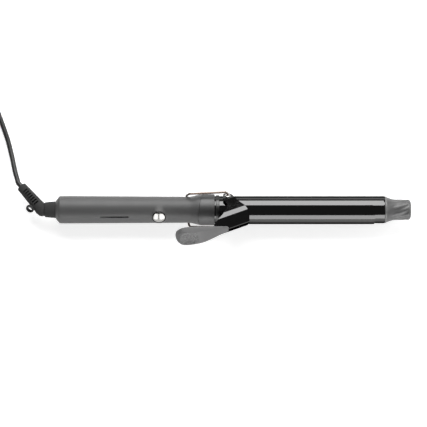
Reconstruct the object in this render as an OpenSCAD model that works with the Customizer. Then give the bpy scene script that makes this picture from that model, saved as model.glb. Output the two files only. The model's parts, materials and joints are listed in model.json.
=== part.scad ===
// Curling iron with a spring clamp, a thumb lever, a folding wire stand and a swivel cord.
// Millimetres. Z is up and the floor is z = 0. The barrel points along +X. The iron lies on its
// collar and on the lower leg of its folded stand, so it leans about its own axis.
// The iron's own frame has its x along the barrel, its z out of the lever side, and its
// origin where the hinge axis of clamp and stand crosses the barrel axis.

/* [Barrel] */
// Diameter of the heated barrel
barrel_d = 28; // [26:0.5:30]
// Wall of the barrel tube
barrel_wall = 1.2; // [0.9:0.1:1.5]
// From the hinge axis to the front edge of the barrel
barrel_reach = 161.6; // [150:0.5:185]
// Length of the barrel inside the collar, behind the hinge axis
barrel_tail = 22; // [20:0.5:24]
// Length of the cool tip in front of its insulating ring
tip_len = 25.4; // [20:0.2:32]
// Diameter of the slim part of the cool tip
tip_d = 20; // [18:0.5:22]
// Width of the insulating ring between barrel and tip
tip_ring_w = 1.8; // [1.2:0.1:3]
// Length of the insulating plug inside the barrel
tip_plug_len = 9; // [6:0.5:14]

/* [Handle] */
// From the hinge axis back to the rear face of the handle
handle_reach = 176.8; // [170:0.5:190]
// Diameter of the handle at its rear
handle_rear_d = 28.5; // [27.6:0.1:29.4]
// Diameter of the handle where it is slimmest, before the collar
handle_front_d = 27; // [26.4:0.1:27.6]
// Wall of the handle at its slimmest place
sleeve_wall = 1.8; // [1.4:0.1:2.2]
// Diameter of the collar
collar_d = 32.1; // [31.6:0.1:34]
// From the hinge axis back to the front face of the collar
collar_front = 13.3; // [12.8:0.1:13.8]
// From the hinge axis back to the middle of the collar's seam
seam_back = 26.7; // [25:0.1:29]
// Tilt of the collar's seam
seam_tilt = 12.5; // [0:0.5:15]
// Diameter of the ring between collar and barrel
ring_d = 29.8; // [29.4:0.1:30.4]
// Width of that ring
ring_w = 3.9; // [3:0.1:4.2]
// Groove between collar and ring
ring_groove = 1; // [0.5:0.1:1.2]

/* [Controls] */
// Diameter of the power button
button_d = 12.8; // [10:0.2:13.2]
// From the hinge axis back to the button
button_back = 70.5; // [66:0.5:80]
// How far the button sinks when it is pressed
button_travel = 0.8; // [0.4:0.1:1]
// Wall of the button's bezel
bezel_wall = 0.6; // [0.4:0.1:0.8]
// Length of the indicator window
lens_len = 30; // [20:1:40]
// Width of the indicator window
lens_w = 1.8; // [1.2:0.1:3]
// From the hinge axis back to the middle of the window
lens_back = 116.5; // [108:0.5:130]

/* [Clamp] */
// From the front end of the clamp plate to the front edge of the barrel
plate_short = 10.3; // [5:0.1:30]
// Thickness of the clamp plate
plate_t = 0.8; // [0.6:0.1:1.2]
// Half of the angle that the plate wraps round the barrel
plate_half_angle = 53; // [40:1:56]
// How far each hinge post stands out of the barrel, up to the bracket's ear
post_reach = 1.6; // [1.4:0.1:2.4]
// Wall of the hinge bracket
bracket_wall = 1.5; // [1.2:0.1:1.7]
// From the hinge axis to the front of the bracket
bracket_front = 22.8; // [20:0.2:26]
// Half width of the thumb rest's flat face
paddle_half_w = 7.2; // [5.5:0.1:8]
// Width and height of the bevel round the lever
lever_bevel = 3.8; // [3:0.1:4.2]
// Thickness of the lever's edge under its bevel
lever_edge = 1.6; // [1.2:0.1:2]

/* [Stand] */
// Diameter of the stand's wire
wire_d = 2.2; // [1.8:0.1:2.4]
// From the iron's axis out to each leg, at the hinge
leg_out = 21.7; // [21:0.1:24]
// From the iron's axis out to each leg, at the arch
leg_out_rear = 20.4; // [20:0.1:23]
// From the hinge axis back to the arch
arch_back = 42.3; // [42:0.1:46]
// Gap between the folded arch and the handle
arch_gap = 0.25; // [0.2:0.05:1]

/* [Cord] */
// Diameter of the cord
cord_d = 5.2; // [4.8:0.1:5.4]
// Length of the ribbed strain relief, measured from the elbow's corner
relief_len = 32.6; // [28:0.2:36]
// Diameter of the strain relief at its free end
relief_end_d = 9.2; // [8.4:0.2:10]
// Diameter of the strain relief at the elbow
relief_root_d = 11.4; // [10.4:0.2:12.4]
// Number of rib slots in the strain relief
relief_slots = 7; // [4:1:8]
// Diameter of the swivel neck where it leaves the handle
neck_d = 16.8; // [15.6:0.2:17.4]
// Inner diameter of the hanging loop
loop_hole_d = 4.8; // [4:0.2:6]
// Mean diameter of the coil that the spare cord is wound into
coil_d = 60; // [58:1:64]
// Turns in each of the coil's four layers
coil_turns = 3.125; // [2.125:1:3.125]
// Length of each plug pin
pin_len = 19; // [17:0.5:20]
// Diameter of each plug pin
pin_d = 4; // [3.6:0.1:4.8]
// Distance between the two plug pins
pin_gap = 18.6; // [17.5:0.1:19]

/* [Hidden] */
$fn = 64;

// Clearance of pieces that sit in each other, on the radius
fit = 0.05;
// Side clearance of the hinge ears
ear_play = 0.1;
// Clearance between the clamp plate and the barrel when the clamp is shut
plate_gap = 0.15;
// Gap left round a piece that only lies against another
lay_gap = 0.3;

barrel_r = barrel_d / 2;
bore_r = handle_front_d / 2 - sleeve_wall;
wire_r = wire_d / 2;
cord_r = cord_d / 2;
ring_back = collar_front - ring_groove;
ear_in = barrel_r + post_reach + ear_play;
ear_span = 2 * (ear_in + bracket_wall);
plate_in = barrel_r + plate_gap;
plate_reach = barrel_reach - plate_short;
plate_out = plate_in + plate_t;

// Round hinge parts: the eyelet's shank turns in the ear, and the wire turns in the eyelet
shank_r = 1.98;
ear_bore_r = shank_r + 0.07;
eyelet_r = 3.05;
eyelet_head = 0.9;
post_r = 4.5;

// The folded arch hugs the handle. The iron lies on its collar, and leans until the hinge end of
// its stand's lower leg meets the floor.
bead = 1.03;
arch_r = handle_front_d / 2 + arch_gap + wire_r;
axis_h = collar_d / 2;
lean = asin((axis_h - wire_r * bead) / leg_out);
// Height of the legs over the hinge axis, where they turn into the arch
leg_lift = 1.3;
leg_end_back = arch_back - 2.8;

// Elbow corner of the cord outlet and the way its strain relief points, in the floor's frame
elbow_back = handle_reach + 13.6;
relief_dir = [-0.651, 0.745, -0.148] / norm([-0.651, 0.745, -0.148]);
relief_end = [-elbow_back, 0, axis_h] + relief_len * relief_dir;
// Gap that lets the strain relief turn past the end of the cord's free stretch
relief_play = 0.7;

// Spine of the bracket, as a line that falls towards the front
spine_tilt = 31.8;
spine_z0 = 34.4;
function spine_z(x) = spine_z0 - x * tan(spine_tilt);

// Outer face of the lever from front to rear: place along the barrel, height, half width, width of
// the bevel there and depth of the keel under the middle
lever_line = [
    [0.9, 36.3, 1.4, 0.3, 0], [-0.4, 36.7, 2.4, 0.6, 0], [-4.5, 38.4, 3.3, 0.8, 1],
    [-8.8, 40.3, 4.2, 1, 2.8], [-17.2, 44.8, paddle_half_w - 1.3, lever_bevel - 2.1, 2.8],
    [-25.6, 48.9, paddle_half_w - 0.2, lever_bevel - 1.2, 2.8],
    [-36.6, 52.1, paddle_half_w - 0.1, lever_bevel - 0.1, 0.6],
    [-43.4, 52.7, paddle_half_w, lever_bevel - 0.4, 0], [-47.5, 52.3, paddle_half_w - 0.7, 2.9, 0],
    [-50.8, 50.6, paddle_half_w - 2.8, 2.2, 0], [-52.6, 48.2, 2.2, 1.2, 0], [-53.1, 46.7, 0.5, 0.3, 0]
];
// The oval dish under the thumb: the middle of the ball that hollows it, its half axes and its tilt
dish_at = [-39.6, -0.4, lever_line[6][1] + 4.7];
dish_axes = [17, paddle_half_w + 3.4, 6];
dish_tilt = 9.3;

// The coil: pitch of its turns, radius of its outer turn, height of its lowest turn
coil_gap = 0.5;
coil_pitch = cord_d + coil_gap;
coil_out = coil_d / 2 + coil_pitch * coil_turns / 2;
tie_t = 1;
coil_z = tie_t + lay_gap + cord_r;
coil_layers = 4;
coil_side = -248;
coil_y = 150;
coil_x = coil_side - coil_out;
coil_top_z = coil_z + (coil_layers - 1) * coil_pitch;

// Plug: it lies flat on the floor, behind its own short stretch of cord
plug_t = 13.7;
plug_w = 25.6;
plug_len = 34;
plug_relief_len = 20;
plug_z = plug_t / 2 + 0.05;
plug_x = coil_x - coil_out;
plug_y = 98;

// The iron is shifted so that the origin lies under the middle of its box
x_front = barrel_reach + tip_ring_w + tip_len;
x_rear = relief_end[0] - relief_end_d / 2 * sqrt(1 - pow(relief_dir[0], 2));
y_far = relief_end[1] + relief_end_d / 2 * sqrt(1 - pow(relief_dir[1], 2));
y_near = -(lever_line[7][1] - 1.7) * sin(lean) - paddle_half_w * cos(lean);
shift = [-(x_front + x_rear) / 2, -(y_far + y_near) / 2, 0];

// Route of the free stretch of cord, from the strain relief to the coil
cord_route = [
    relief_end + relief_dir * relief_play, relief_end + relief_dir * (relief_play + cord_d),
    [-217.5, 32.5, 9], [-219.2, 38, 8], [-220.8, 44, 6.8], [-223, 54, 4.8],
    [-225.6, 64.5, 3.4], [-228.4, 75, 2.8], [-232, 85.5, 2.8], [-236.6, 98, 2.8],
    [-241, 110, 3.1], [-245, 122, 3.6], [-247.4, 134, coil_z],
    [coil_side, coil_y - 2 * cord_d, coil_z], [coil_side, coil_y - cord_d, coil_z]
];
// Route of the stretch between the coil and the plug
tail_route = [
    [plug_x, coil_y - cord_d, coil_top_z], [plug_x, coil_y - 2 * cord_d, coil_top_z],
    [plug_x, 133, coil_top_z - 1.4], [plug_x, 125, coil_top_z - 5.5],
    [plug_x, 117, plug_z + 4.6], [plug_x, 110, plug_z + 1.2],
    [plug_x, plug_y + cord_d, plug_z], [plug_x, plug_y, plug_z]
];

// Points of a smooth curve through the points p, n to each span
function spline_at(a, b, c, d, t) = 0.5 * (2 * b + (c - a) * t + (2 * a - 5 * b + 4 * c - d) * t * t
    + (3 * b - a - 3 * c + d) * t * t * t);
function spline(p, n) = let (last = len(p) - 1) concat(
    [for (i = [0 : last - 1], k = [0 : n - 1])
        i == 0 || i == last - 1
            ? p[i] + (p[i + 1] - p[i]) * k / n
            : spline_at(p[i - 1], p[i], p[i + 1], p[i + 2], k / n)],
    [p[last]]);
// Rings of a tube round the path p, each with the given number of sides
function unit(v) = v / norm(v);
function tangent(p, i) = unit(p[min(i + 1, len(p) - 1)] - p[max(i - 1, 0)]);
function tube_rings(p, r, sides) = [for (i = [0 : len(p) - 1])
    let (t = tangent(p, i), s = unit(cross(t, [0, 0, 1])), u = cross(s, t))
    [for (k = [0 : sides - 1]) let (a = 360 * (k + 0.5) / sides) p[i] + r * (cos(a) * s + sin(a) * u)]];
// Path of the coil: it spirals in and out again, and climbs a layer where it reverses
coil_steps = 24;
function coil_fold(s) = let (m = s % (2 * coil_turns)) m < coil_turns ? m : 2 * coil_turns - m;
function ease(v) = let (c = max(0, min(1, v))) (1 - cos(180 * c)) / 2;
function coil_climb(s) = coil_pitch
    * ease((s - coil_turns + 0.25) * 2) + coil_pitch * ease((s - 2 * coil_turns + 0.25) * 2)
    + coil_pitch * ease((s - 3 * coil_turns + 0.25) * 2);
coil_path = [for (i = [0 : coil_layers * coil_turns * coil_steps])
    let (s = i / coil_steps, r = coil_out - coil_pitch * coil_fold(s))
    [coil_x + r * cos(360 * s), coil_y + r * sin(360 * s), coil_z + coil_climb(s)]];
coil_whole = concat([coil_path[0] - [0, cord_d, 0]], coil_path,
    [coil_path[len(coil_path) - 1] - [0, cord_d, 0]]);
// Least gap between points of the coil that are half a turn or more apart
coil_least_gap = min([for (i = [0 : len(coil_path) - 1], j = [i + coil_steps / 2 : len(coil_path) - 1])
    norm(coil_path[i] - coil_path[j])]) - cord_d;
function path_len(p, i = 0) = i >= len(p) - 1 ? 0 : norm(p[i + 1] - p[i]) + path_len(p, i + 1);
echo(coil_least_gap = coil_least_gap);
echo(cord_length = path_len(spline(cord_route, 3)) + path_len(coil_whole)
    + path_len(spline(tail_route, 3)));

// Radius of handle and collar at x, in the iron's frame
flare_back = 40.5;
flare_end = 25.5;
edge_r = 4.5;
function ramp(v) = let (c = max(0, min(1, v))) c * c * (3 - 2 * c);
function handle_r(x) = handle_front_d / 2
    + (handle_rear_d - handle_front_d) / 2 * max(0, min(1, (-x - flare_back) / (handle_reach - flare_back)))
    + (collar_d - handle_front_d) / 2 * ramp((x + flare_back) / (flare_back - flare_end));
function handle_outline() = concat(
    [[0, -handle_reach]],
    [for (a = [0 : 15 : 75])
        [handle_r(-handle_reach) - edge_r * 0.75 * (1 - sin(a)), -handle_reach + edge_r * (1 - cos(a))]],
    [for (x = [-handle_reach + edge_r, -120, -80]) [handle_r(x), x]],
    [for (k = [0 : 8]) let (x = -flare_back + (flare_back - flare_end) * k / 8) [handle_r(x), x]],
    [[collar_d / 2, -collar_front - 0.5], [collar_d / 2 - 0.5, -collar_front], [0, -collar_front]]);

// A solid turned about the barrel axis, from points of radius and place
module turned(points) {
    rotate([0, 90, 0]) rotate_extrude() polygon(points);
}
// A round bar along the barrel axis
module bar(x0, x1, r) {
    translate([x0, 0, 0]) rotate([0, 90, 0]) cylinder(h = x1 - x0, r = r);
}
// A tube along the barrel axis
module pipe(x0, x1, r_out, r_in) {
    difference() {
        bar(x0, x1, r_out);
        bar(x0 - 1, x1 + 1, r_in);
    }
}
// A round bar along y on the side s, in the iron's frame
module cross_bar(s, y0, y1, r) {
    translate([0, s * y0, 0]) rotate([-90 * s, 0, 0]) cylinder(h = y1 - y0, r = r);
}
// A straight piece of wire, with a bead at its far end that rounds the bend there
module wire(a, b, r) {
    v = b - a;
    translate(b) sphere(r = r * bead);
    translate(a) rotate([0, acos(v[2] / norm(v)), atan2(v[1], v[0])]) cylinder(h = norm(v), r = r);
}
// A closed skin over rings of equally many points
module loft(rings) {
    n = len(rings[0]);
    m = len(rings);
    side = [for (i = [0 : m - 2], k = [0 : n - 1]) each [
        [i * n + k, i * n + (k + 1) % n, (i + 1) * n + k],
        [(i + 1) * n + k, i * n + (k + 1) % n, (i + 1) * n + (k + 1) % n]]];
    first = [for (k = [1 : n - 2]) [0, k + 1, k]];
    last = [for (k = [1 : n - 2]) [(m - 1) * n, (m - 1) * n + k, (m - 1) * n + k + 1]];
    polyhedron([for (ring = rings) each ring], concat(side, first, last));
}
// Places what stands on the floor, and what belongs to the leaning iron
module on_floor() {
    translate(shift) children();
}
module iron() {
    on_floor() translate([0, 0, axis_h]) rotate([lean, 0, 0]) children();
}
// Points the z axis of its children along the strain relief
module along_relief() {
    on_floor() translate([-elbow_back, 0, axis_h])
        rotate([0, acos(relief_dir[2]), atan2(relief_dir[1], relief_dir[0])]) children();
}
// The space behind the collar's slanted seam, or in front of it
module seam_side(behind) {
    big = 400;
    translate([-seam_back, 0, 0]) rotate([0, -seam_tilt, 0])
        translate([behind ? -big : 0, -big / 2, -big / 2]) cube([big, big, big]);
}

// Handle: the long sleeve, with the button's boss, its bore and the window's slot
boss_top = handle_front_d / 2 + 0.4;
boss_foot = 8.6;
boss_r = button_d / 2 + fit * 2 + bezel_wall;
module lens_prism(w, len, z0, z1) {
    for (s = [-1, 1])
        translate([-lens_back + s * (len - w) / 2, 0, z0]) cylinder(h = z1 - z0, d = w);
    translate([-lens_back - (len - w) / 2, -w / 2, z0]) cube([len - w, w, z1 - z0]);
}
module handle_sleeve() {
    color("dimgray") iron() difference() {
        union() {
            intersection() {
                turned(handle_outline());
                seam_side(true);
            }
            translate([-button_back, 0, boss_foot])
                cylinder(h = boss_top - boss_foot, r1 = boss_r + 2.9, r2 = boss_r + 0.1);
        }
        bar(-handle_reach + sleeve_wall, 0, bore_r);
        bar(-handle_reach - 1, 0, neck_d / 2 + 0.35);
        translate([-button_back, 0, 0]) cylinder(h = 20, r = boss_r);
        lens_prism(lens_w + 2 * fit, lens_len + 2 * fit, 0, 20);
    }
}
module front_collar() {
    color("dimgray") iron() difference() {
        intersection() {
            turned(handle_outline());
            seam_side(false);
        }
        bar(-60, 0, bore_r);
        bar(-barrel_tail, 0, barrel_r + fit);
    }
}
module collar_ring() {
    color("#3c3c3e") iron() pipe(-ring_back, -ring_back + ring_w, ring_d / 2, barrel_r + fit);
}

// Electronics: a half-round carrier in the handle, with the board on its two edges
board_t = 1.6;
board_z = 2;
carrier_t = 1.5;
carrier_rear = handle_reach - 22;
carrier_front = 34;
board_half_w = sqrt(pow(bore_r - fit - 0.3, 2) - pow(board_z + board_t, 2));
board_rear = carrier_rear - 6;
board_front = 46;
module board_carrier() {
    color("#2b2b2b") iron() difference() {
        pipe(-carrier_rear, -carrier_front, bore_r - fit, bore_r - fit - carrier_t);
        translate([-carrier_rear - 1, -20, board_z]) cube([carrier_rear, 40, 20]);
    }
}
module circuit_board() {
    color("darkgreen") iron() translate([-board_rear, -board_half_w, board_z])
        cube([board_rear - board_front, 2 * board_half_w, board_t]);
}
// The capacitor stands beside the button and reaches up to the handle's wall, less a gap
cap_d = 7;
cap_gap = 1.1;
cap_h = sqrt(pow(bore_r, 2) - pow(cap_d / 2, 2)) - board_z - board_t - cap_gap;
module board_parts() {
    top = board_z + board_t;
    color("#444444") iron() {
        translate([-button_back - 8 - cap_d / 2, 0, top]) cylinder(h = cap_h, d = cap_d);
        translate([-button_back + 8.5, -5, top]) cube([10, 4.4, 3]);
        translate([-button_back + 8.5, 1.4, top]) cube([10, 4, 1.6]);
        translate([lens_len / 2 - lens_back - 1.5, -4, top]) cube([6, 8, 5]);
        translate([lens_len / 2 - lens_back + 6.5, -5, top]) cube([12, 10, 1.8]);
    }
}
// Top of the button at rest, of its stem's foot and of the switch under it
stem_foot = 8.7;
bezel_foot = bore_r - 0.4;
button_rim = boss_top + 0.1;
module tact_switch() {
    color("silver") iron() translate([-button_back, 0, board_z + board_t]) {
        translate([-3, -3, 0]) cube([6, 6, 3.5]);
        cylinder(h = stem_foot - board_z - board_t - button_travel - 0.2, r = 1.7);
    }
}
module button_bezel() {
    color("#1c1c1c") iron() translate([-button_back, 0, 0]) difference() {
        translate([0, 0, bezel_foot]) cylinder(h = boss_top - bezel_foot, r = boss_r - fit);
        cylinder(h = 30, r = button_d / 2 + fit);
    }
}
module power_button() {
    dome_h = 1.15;
    rim_r = button_d / 2;
    dome_r = (pow(rim_r, 2) + pow(dome_h, 2)) / (2 * dome_h);
    flange_z = bezel_foot - 0.8;
    color("silver") iron() translate([-button_back, 0, 0]) {
        intersection() {
            translate([0, 0, flange_z]) cylinder(h = button_rim + dome_h + 1 - flange_z, r = rim_r);
            translate([0, 0, button_rim + dome_h - dome_r]) sphere(r = dome_r, $fn = 96);
        }
        translate([0, 0, flange_z]) cylinder(h = 0.7, r = boss_r - 3 * fit);
        translate([0, 0, stem_foot]) cylinder(h = flange_z + 0.5 - stem_foot, r = 2);
    }
}
module indicator_lens() {
    color("#202022") iron() intersection() {
        turned(handle_outline());
        lens_prism(lens_w, lens_len, bore_r - 0.6, 20);
    }
}
module indicator_led() {
    color("white") iron() for (k = [-2 : 2])
        translate([-lens_back + k * lens_len / 6 - 1, -0.8, board_z + board_t])
            cube([2, 1.6, bore_r - 0.8 - board_z - board_t]);
}

// Barrel with its heater: two half-round shoes hold a flat heater between them
heater_back = 26;
heater_front_gap = 6;
heater_t = 4;
heater_w = 12;
shoe_gap = 0.1;
module barrel_tube() {
    color("#0c0c0d") iron() difference() {
        pipe(-barrel_tail, barrel_reach, barrel_r, barrel_r - barrel_wall);
        for (s = [-1, 1]) cross_bar(s, 5, barrel_r + 2, shank_r);
    }
}
module insulator_bush() {
    color("ivory") iron() difference() {
        bar(-barrel_tail, -6, barrel_r - barrel_wall - fit);
        for (y = [-4, 4]) translate([-50, y, board_z - 0.8]) rotate([0, 90, 0]) cylinder(h = 60, r = 1.1);
        translate([-15, 0, -5.5]) rotate([0, 90, 0]) cylinder(h = 30, r = 2.3);
    }
}
shoe_front = barrel_reach - tip_plug_len - heater_front_gap;
module heater_shoe(side) {
    color("silver") iron() difference() {
        bar(heater_back, shoe_front, barrel_r - barrel_wall - fit);
        translate([-10, -20, side > 0 ? -20 : -heater_t / 2 + shoe_gap])
            cube([300, 40, 20 + heater_t / 2 - shoe_gap]);
        translate([-10, -heater_w / 2 - fit, -heater_t / 2]) cube([300, heater_w + 2 * fit, heater_t]);
        for (y = [-8.5, 8.5]) translate([-10, y, side * 6]) rotate([0, 90, 0]) cylinder(h = 300, r = 1.3);
    }
}
module heater_shoe_upper() {
    heater_shoe(1);
}
module heater_shoe_lower() {
    heater_shoe(-1);
}
module ptc_heater() {
    color("orange") iron() translate([heater_back - 2, -heater_w / 2, -heater_t / 2])
        cube([shoe_front - heater_back - 4, heater_w, heater_t]);
}
module thermistor() {
    color("gold") iron() translate([heater_back - 8, 8.5, 6]) rotate([0, 90, 0])
        cylinder(h = 40, r = 1.3 - fit);
}
module thermal_fuse() {
    color("lightgray") iron() {
        translate([-14, 0, -5.5]) rotate([0, 90, 0]) cylinder(h = 9, r = 2.3 - fit);
        translate([-5, 0, -5.5]) rotate([0, 90, 0]) cylinder(h = heater_back + 5, r = 0.5);
    }
}
// Two leads run under the board, from its front end to the heater
lead_r = 0.8;
lead_out = 4;
lead_on_board = 8;
module heater_leads() {
    color("white") iron() for (s = [-1, 1])
        translate([-board_front - lead_on_board, s * lead_out, board_z - lead_r]) rotate([0, 90, 0])
            cylinder(h = board_front + lead_on_board + heater_back - 2, r = lead_r);
}

// Cool tip: a waisted cap on an insulating ring, held by a screw from the inside
module tip_insulator() {
    color("silver") iron() difference() {
        union() {
            bar(barrel_reach, barrel_reach + tip_ring_w, barrel_r - 0.3);
            bar(barrel_reach - tip_plug_len, barrel_reach, barrel_r - barrel_wall - fit);
        }
        bar(barrel_reach - tip_plug_len - 1, barrel_reach + 20, 1.6);
    }
}
function tip_r(t) = tip_d / 2 + (barrel_r - 0.8 - tip_d / 2) * pow(max(0, 1 - t / 0.32), 1.7);
module cool_tip() {
    x0 = barrel_reach + tip_ring_w;
    nose = 3.2;
    body = [for (k = [0 : 12]) let (t = k / 12 * (1 - nose / tip_len)) [tip_r(t), x0 + t * tip_len]];
    cap = [for (a = [15 : 15 : 90])
        [tip_d / 2 - nose * (1 - cos(a)), x0 + tip_len - nose + nose * sin(a)]];
    color("gray") iron() difference() {
        turned(concat([[0, x0]], body, cap, [[0, x0 + tip_len]]));
        bar(x0 - 1, x0 + 9, 1.5);
    }
}
module tip_screw() {
    color("silver") iron() {
        bar(barrel_reach - tip_plug_len, barrel_reach + tip_ring_w + 8.5, 1.5 - fit);
        bar(barrel_reach - tip_plug_len - 2, barrel_reach - tip_plug_len, 2.8);
    }
}

// Hinge: a post on each side of the barrel, with an eyelet through ear, post and wall
module hinge_posts() {
    color("#1a1a1b") iron() for (s = [-1, 1]) difference() {
        cross_bar(s, 10, ear_in - ear_play, post_r);
        bar(-20, 20, barrel_r + 0.01);
        cross_bar(s, 5, 30, shank_r + 0.01);
    }
}
module pivot_eyelets() {
    color("silver") iron() for (s = [-1, 1]) difference() {
        union() {
            cross_bar(s, barrel_r - barrel_wall - 0.6, ear_span / 2 + ear_play, shank_r);
            cross_bar(s, ear_span / 2 + ear_play, ear_span / 2 + ear_play + eyelet_head - 0.3, eyelet_r);
            cross_bar(s, ear_span / 2 + ear_play, ear_span / 2 + ear_play + eyelet_head, eyelet_r - 0.4);
        }
        cross_bar(s, 5, 30, wire_r + fit);
    }
}

// Bracket: a hood over the barrel. Its roof follows the falling spine, and its cheeks reach
// down to the ears. The tongue behind it carries the lever.
hood_rear = -14.4;
function hood_section(w) = let (e = ear_span / 2 - w)
    [[1, 0.4 - w * 1.2], [9.9 - w, -6.8 - w / 2], [12.7 - w, -10.8], [14.9 - w, -18], [e, -24.4], [e, -60]];
module hood_beam(w) {
    half = hood_section(w);
    other = [for (i = [len(half) - 1 : -1 : 0]) [-half[i][0], half[i][1]]];
    translate([0, 0, spine_z0]) rotate([0, spine_tilt, 0]) translate([-80, 0, 0])
        rotate([90, 0, 90]) linear_extrude(height = 160) polygon(concat(half, other));
}
module side_plate(points, half_w) {
    translate([0, half_w, 0]) rotate([90, 0, 0]) linear_extrude(height = 2 * half_w) polygon(points);
}
hood_side = [
    [-4.7, -2.6], [-3, -4.4], [2.8, -4.4], [5.6, -0.8], [8.4, 2.5], [10.6, 5], [14.2, 7.4],
    [bracket_front - 5, 9.8], [bracket_front - 2.2, 12.6], [bracket_front - 0.8, 16.5],
    [bracket_front, 21.5], [bracket_front, 30], [-3.3, 60], [-3.3, 35.4], [-12.5, 39.6],
    [hood_rear, 40.2], [hood_rear + 0.6, 37.6], [-4.8, 25.6], [-0.9, 17.5], [-0.7, 12.1], [-4.7, 6.8]
];
cavity_side = [
    [-40, -20], [bracket_front - 3, -20], [bracket_front - 3, 60], [0, 60], [0, 32.4],
    [-3.3, 35.4 - 1.2 * bracket_wall], [-12.5, 39.6 - 1.2 * bracket_wall], [-40, 52]
];
// The tongue's upper face rises from its foot towards the rear, and two screws go through it
tongue_tilt = 20.5;
tongue_foot = [-12.6, 39.5];
tongue_side = [[-10, 36.6], [-13, 38], [-30, 44.4], [-30, 46], tongue_foot, [-10, 38.4]];
screw_x = [-17, -25];
module hood_block() {
    intersection() {
        hood_beam(0);
        side_plate(hood_side, ear_span);
    }
}
module clamp_bracket() {
    color("#101011") iron() difference() {
        union() {
            difference() {
                hood_block();
                intersection() {
                    hood_beam(bracket_wall);
                    side_plate(cavity_side, ear_span);
                }
            }
            side_plate(tongue_side, 3.5);
        }
        bar(-40, 60, plate_out);
        for (s = [-1, 1]) cross_bar(s, 5, 30, ear_bore_r);
        for (x = screw_x) lever_screw_at(x) cylinder(h = 20, r = 1 + fit, center = true);
    }
}
module clamp_plate() {
    back = 8;
    corner = 5;
    half = plate_out * sin(plate_half_angle);
    side_cut = plate_out * cos(plate_half_angle);
    color("#0e0e0f") iron() intersection() {
        pipe(back, plate_reach, plate_out, plate_in);
        union() {
            translate([back, -half, side_cut]) cube([plate_reach - back - corner, 2 * half, 20]);
            translate([back, -half + corner, side_cut]) cube([plate_reach - back, 2 * half - 2 * corner, 20]);
            for (s = [-1, 1]) translate([plate_reach - corner, s * (half - corner), side_cut])
                cylinder(h = 20, r = corner);
        }
    }
}

// Lever: a bevelled thumb rest over the tongue, dished where the thumb lies
function lever_section(p) = let (x = p[0], z = p[1], w = p[2], b = p[3],
        low = z - b * 1.1, foot = low - lever_edge, keel = foot + 0.6 - p[4])
    [[x, w, z], [x, -w, z], [x, -w - b, low], [x, -w - b, foot], [x, -w * 0.5, keel],
     [x, w * 0.5, keel], [x, w + b, foot], [x, w + b, low]];
module lever_screw_at(x) {
    translate([x, 0, tongue_foot[1] - (x - tongue_foot[0]) * tan(tongue_tilt)]) rotate([0, tongue_tilt, 0])
        children();
}
module thumb_lever() {
    color("gray") iron() difference() {
        loft([for (p = lever_line) lever_section(p)]);
        translate(dish_at) rotate([0, dish_tilt, 0]) scale(dish_axes) sphere(r = 1);
        hood_block();
        side_plate(tongue_side, 3.5 + fit);
        for (x = screw_x) lever_screw_at(x) translate([0, 0, -14]) cylinder(h = 14, r = 2, $fn = 24);
        for (x = screw_x) lever_screw_at(x) cylinder(h = 2.2, r = 1, $fn = 24);
    }
}
module lever_screws() {
    color("silver") iron() for (x = screw_x) lever_screw_at(x) {
        translate([0, 0, -1.6]) cylinder(h = 3.4, r = 0.95);
        translate([0, 0, -2.8]) cylinder(h = 1.2, r = 1.9);
    }
}
// Leaf spring: welded flat to the barrel, it rises to push the lever up and the clamp shut
leaf_t = 0.6;
leaf_line = [
    [6.5, barrel_r + 0.35], [-1, barrel_r + 0.35], [-3.4, barrel_r + 1.4], [-8, 30.2],
    [-8.8, 34.2], [-9.6, 35.3], [-10.6, 35]
];
function side_of(p, i) = let (v = p[min(i + 1, len(p) - 1)] - p[max(i - 1, 0)]) [-v[1], v[0]] / norm(v);
function strip(p, t) = concat([for (i = [0 : len(p) - 1]) p[i] + side_of(p, i) * t / 2],
    [for (i = [len(p) - 1 : -1 : 0]) p[i] - side_of(p, i) * t / 2]);
module leaf_spring() {
    color("silver") iron() side_plate(strip(leaf_line, leaf_t), 3);
}

// Stand: one bent wire, with an arch behind the handle and its ends in the eyelets
module stand_wire() {
    arch_y = arch_r * sin(45);
    color("silver") iron() {
        for (s = [-1, 1]) {
            hinge = [0, s * leg_out, 0];
            corner = [-leg_end_back, s * leg_out_rear, leg_lift];
            cross_bar(s, barrel_r - barrel_wall - 0.6, leg_out, wire_r);
            translate(hinge) sphere(r = wire_r * bead);
            wire(hinge, corner, wire_r);
            wire(corner, [-arch_back, s * arch_y, -arch_y], wire_r);
        }
        translate([-arch_back, 0, 0]) rotate([0, -90, 0]) rotate([0, 0, -45 - 180])
            rotate_extrude(angle = 90) translate([arch_r, 0]) circle(r = wire_r, $fn = 32);
    }
}

// Swivel: a neck that turns in a bush at the handle's rear, with contact rings inside
neck_in_r = 7.4;
elbow_r = 6.8;
bush_len = 12;
module swivel_bush() {
    x = -handle_reach + sleeve_wall + 0.2;
    color("#232323") iron() pipe(x, x + bush_len, bore_r - fit, neck_in_r + 0.08);
}
module swivel_neck() {
    x0 = -handle_reach + sleeve_wall + 0.2;
    x1 = x0 + bush_len;
    color("#2e2e30") iron() difference() {
        turned([[0, -elbow_back + 2.5], [7.1, -elbow_back + 2.5],
            [neck_d / 2, -handle_reach - 0.6], [neck_d / 2, x0 - 0.1], [neck_in_r, x0 - 0.1],
            [neck_in_r, x1 + 0.1], [9.2, x1 + 0.1], [9.2, x1 + 1.8], [5, x1 + 1.8], [5, x1 + 8], [0, x1 + 8]]);
        bar(-elbow_back - 1, x1 + 10, cord_r);
        translate([-elbow_back, 0, 0]) sphere(r = elbow_r + 0.02);
    }
}
module contact_rings() {
    x1 = -handle_reach + sleeve_wall + 0.2 + bush_len;
    color("gold") iron() for (k = [0, 1]) pipe(x1 + 2.6 + 2.8 * k, x1 + 4.2 + 2.8 * k, 6, 5);
}
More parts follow.
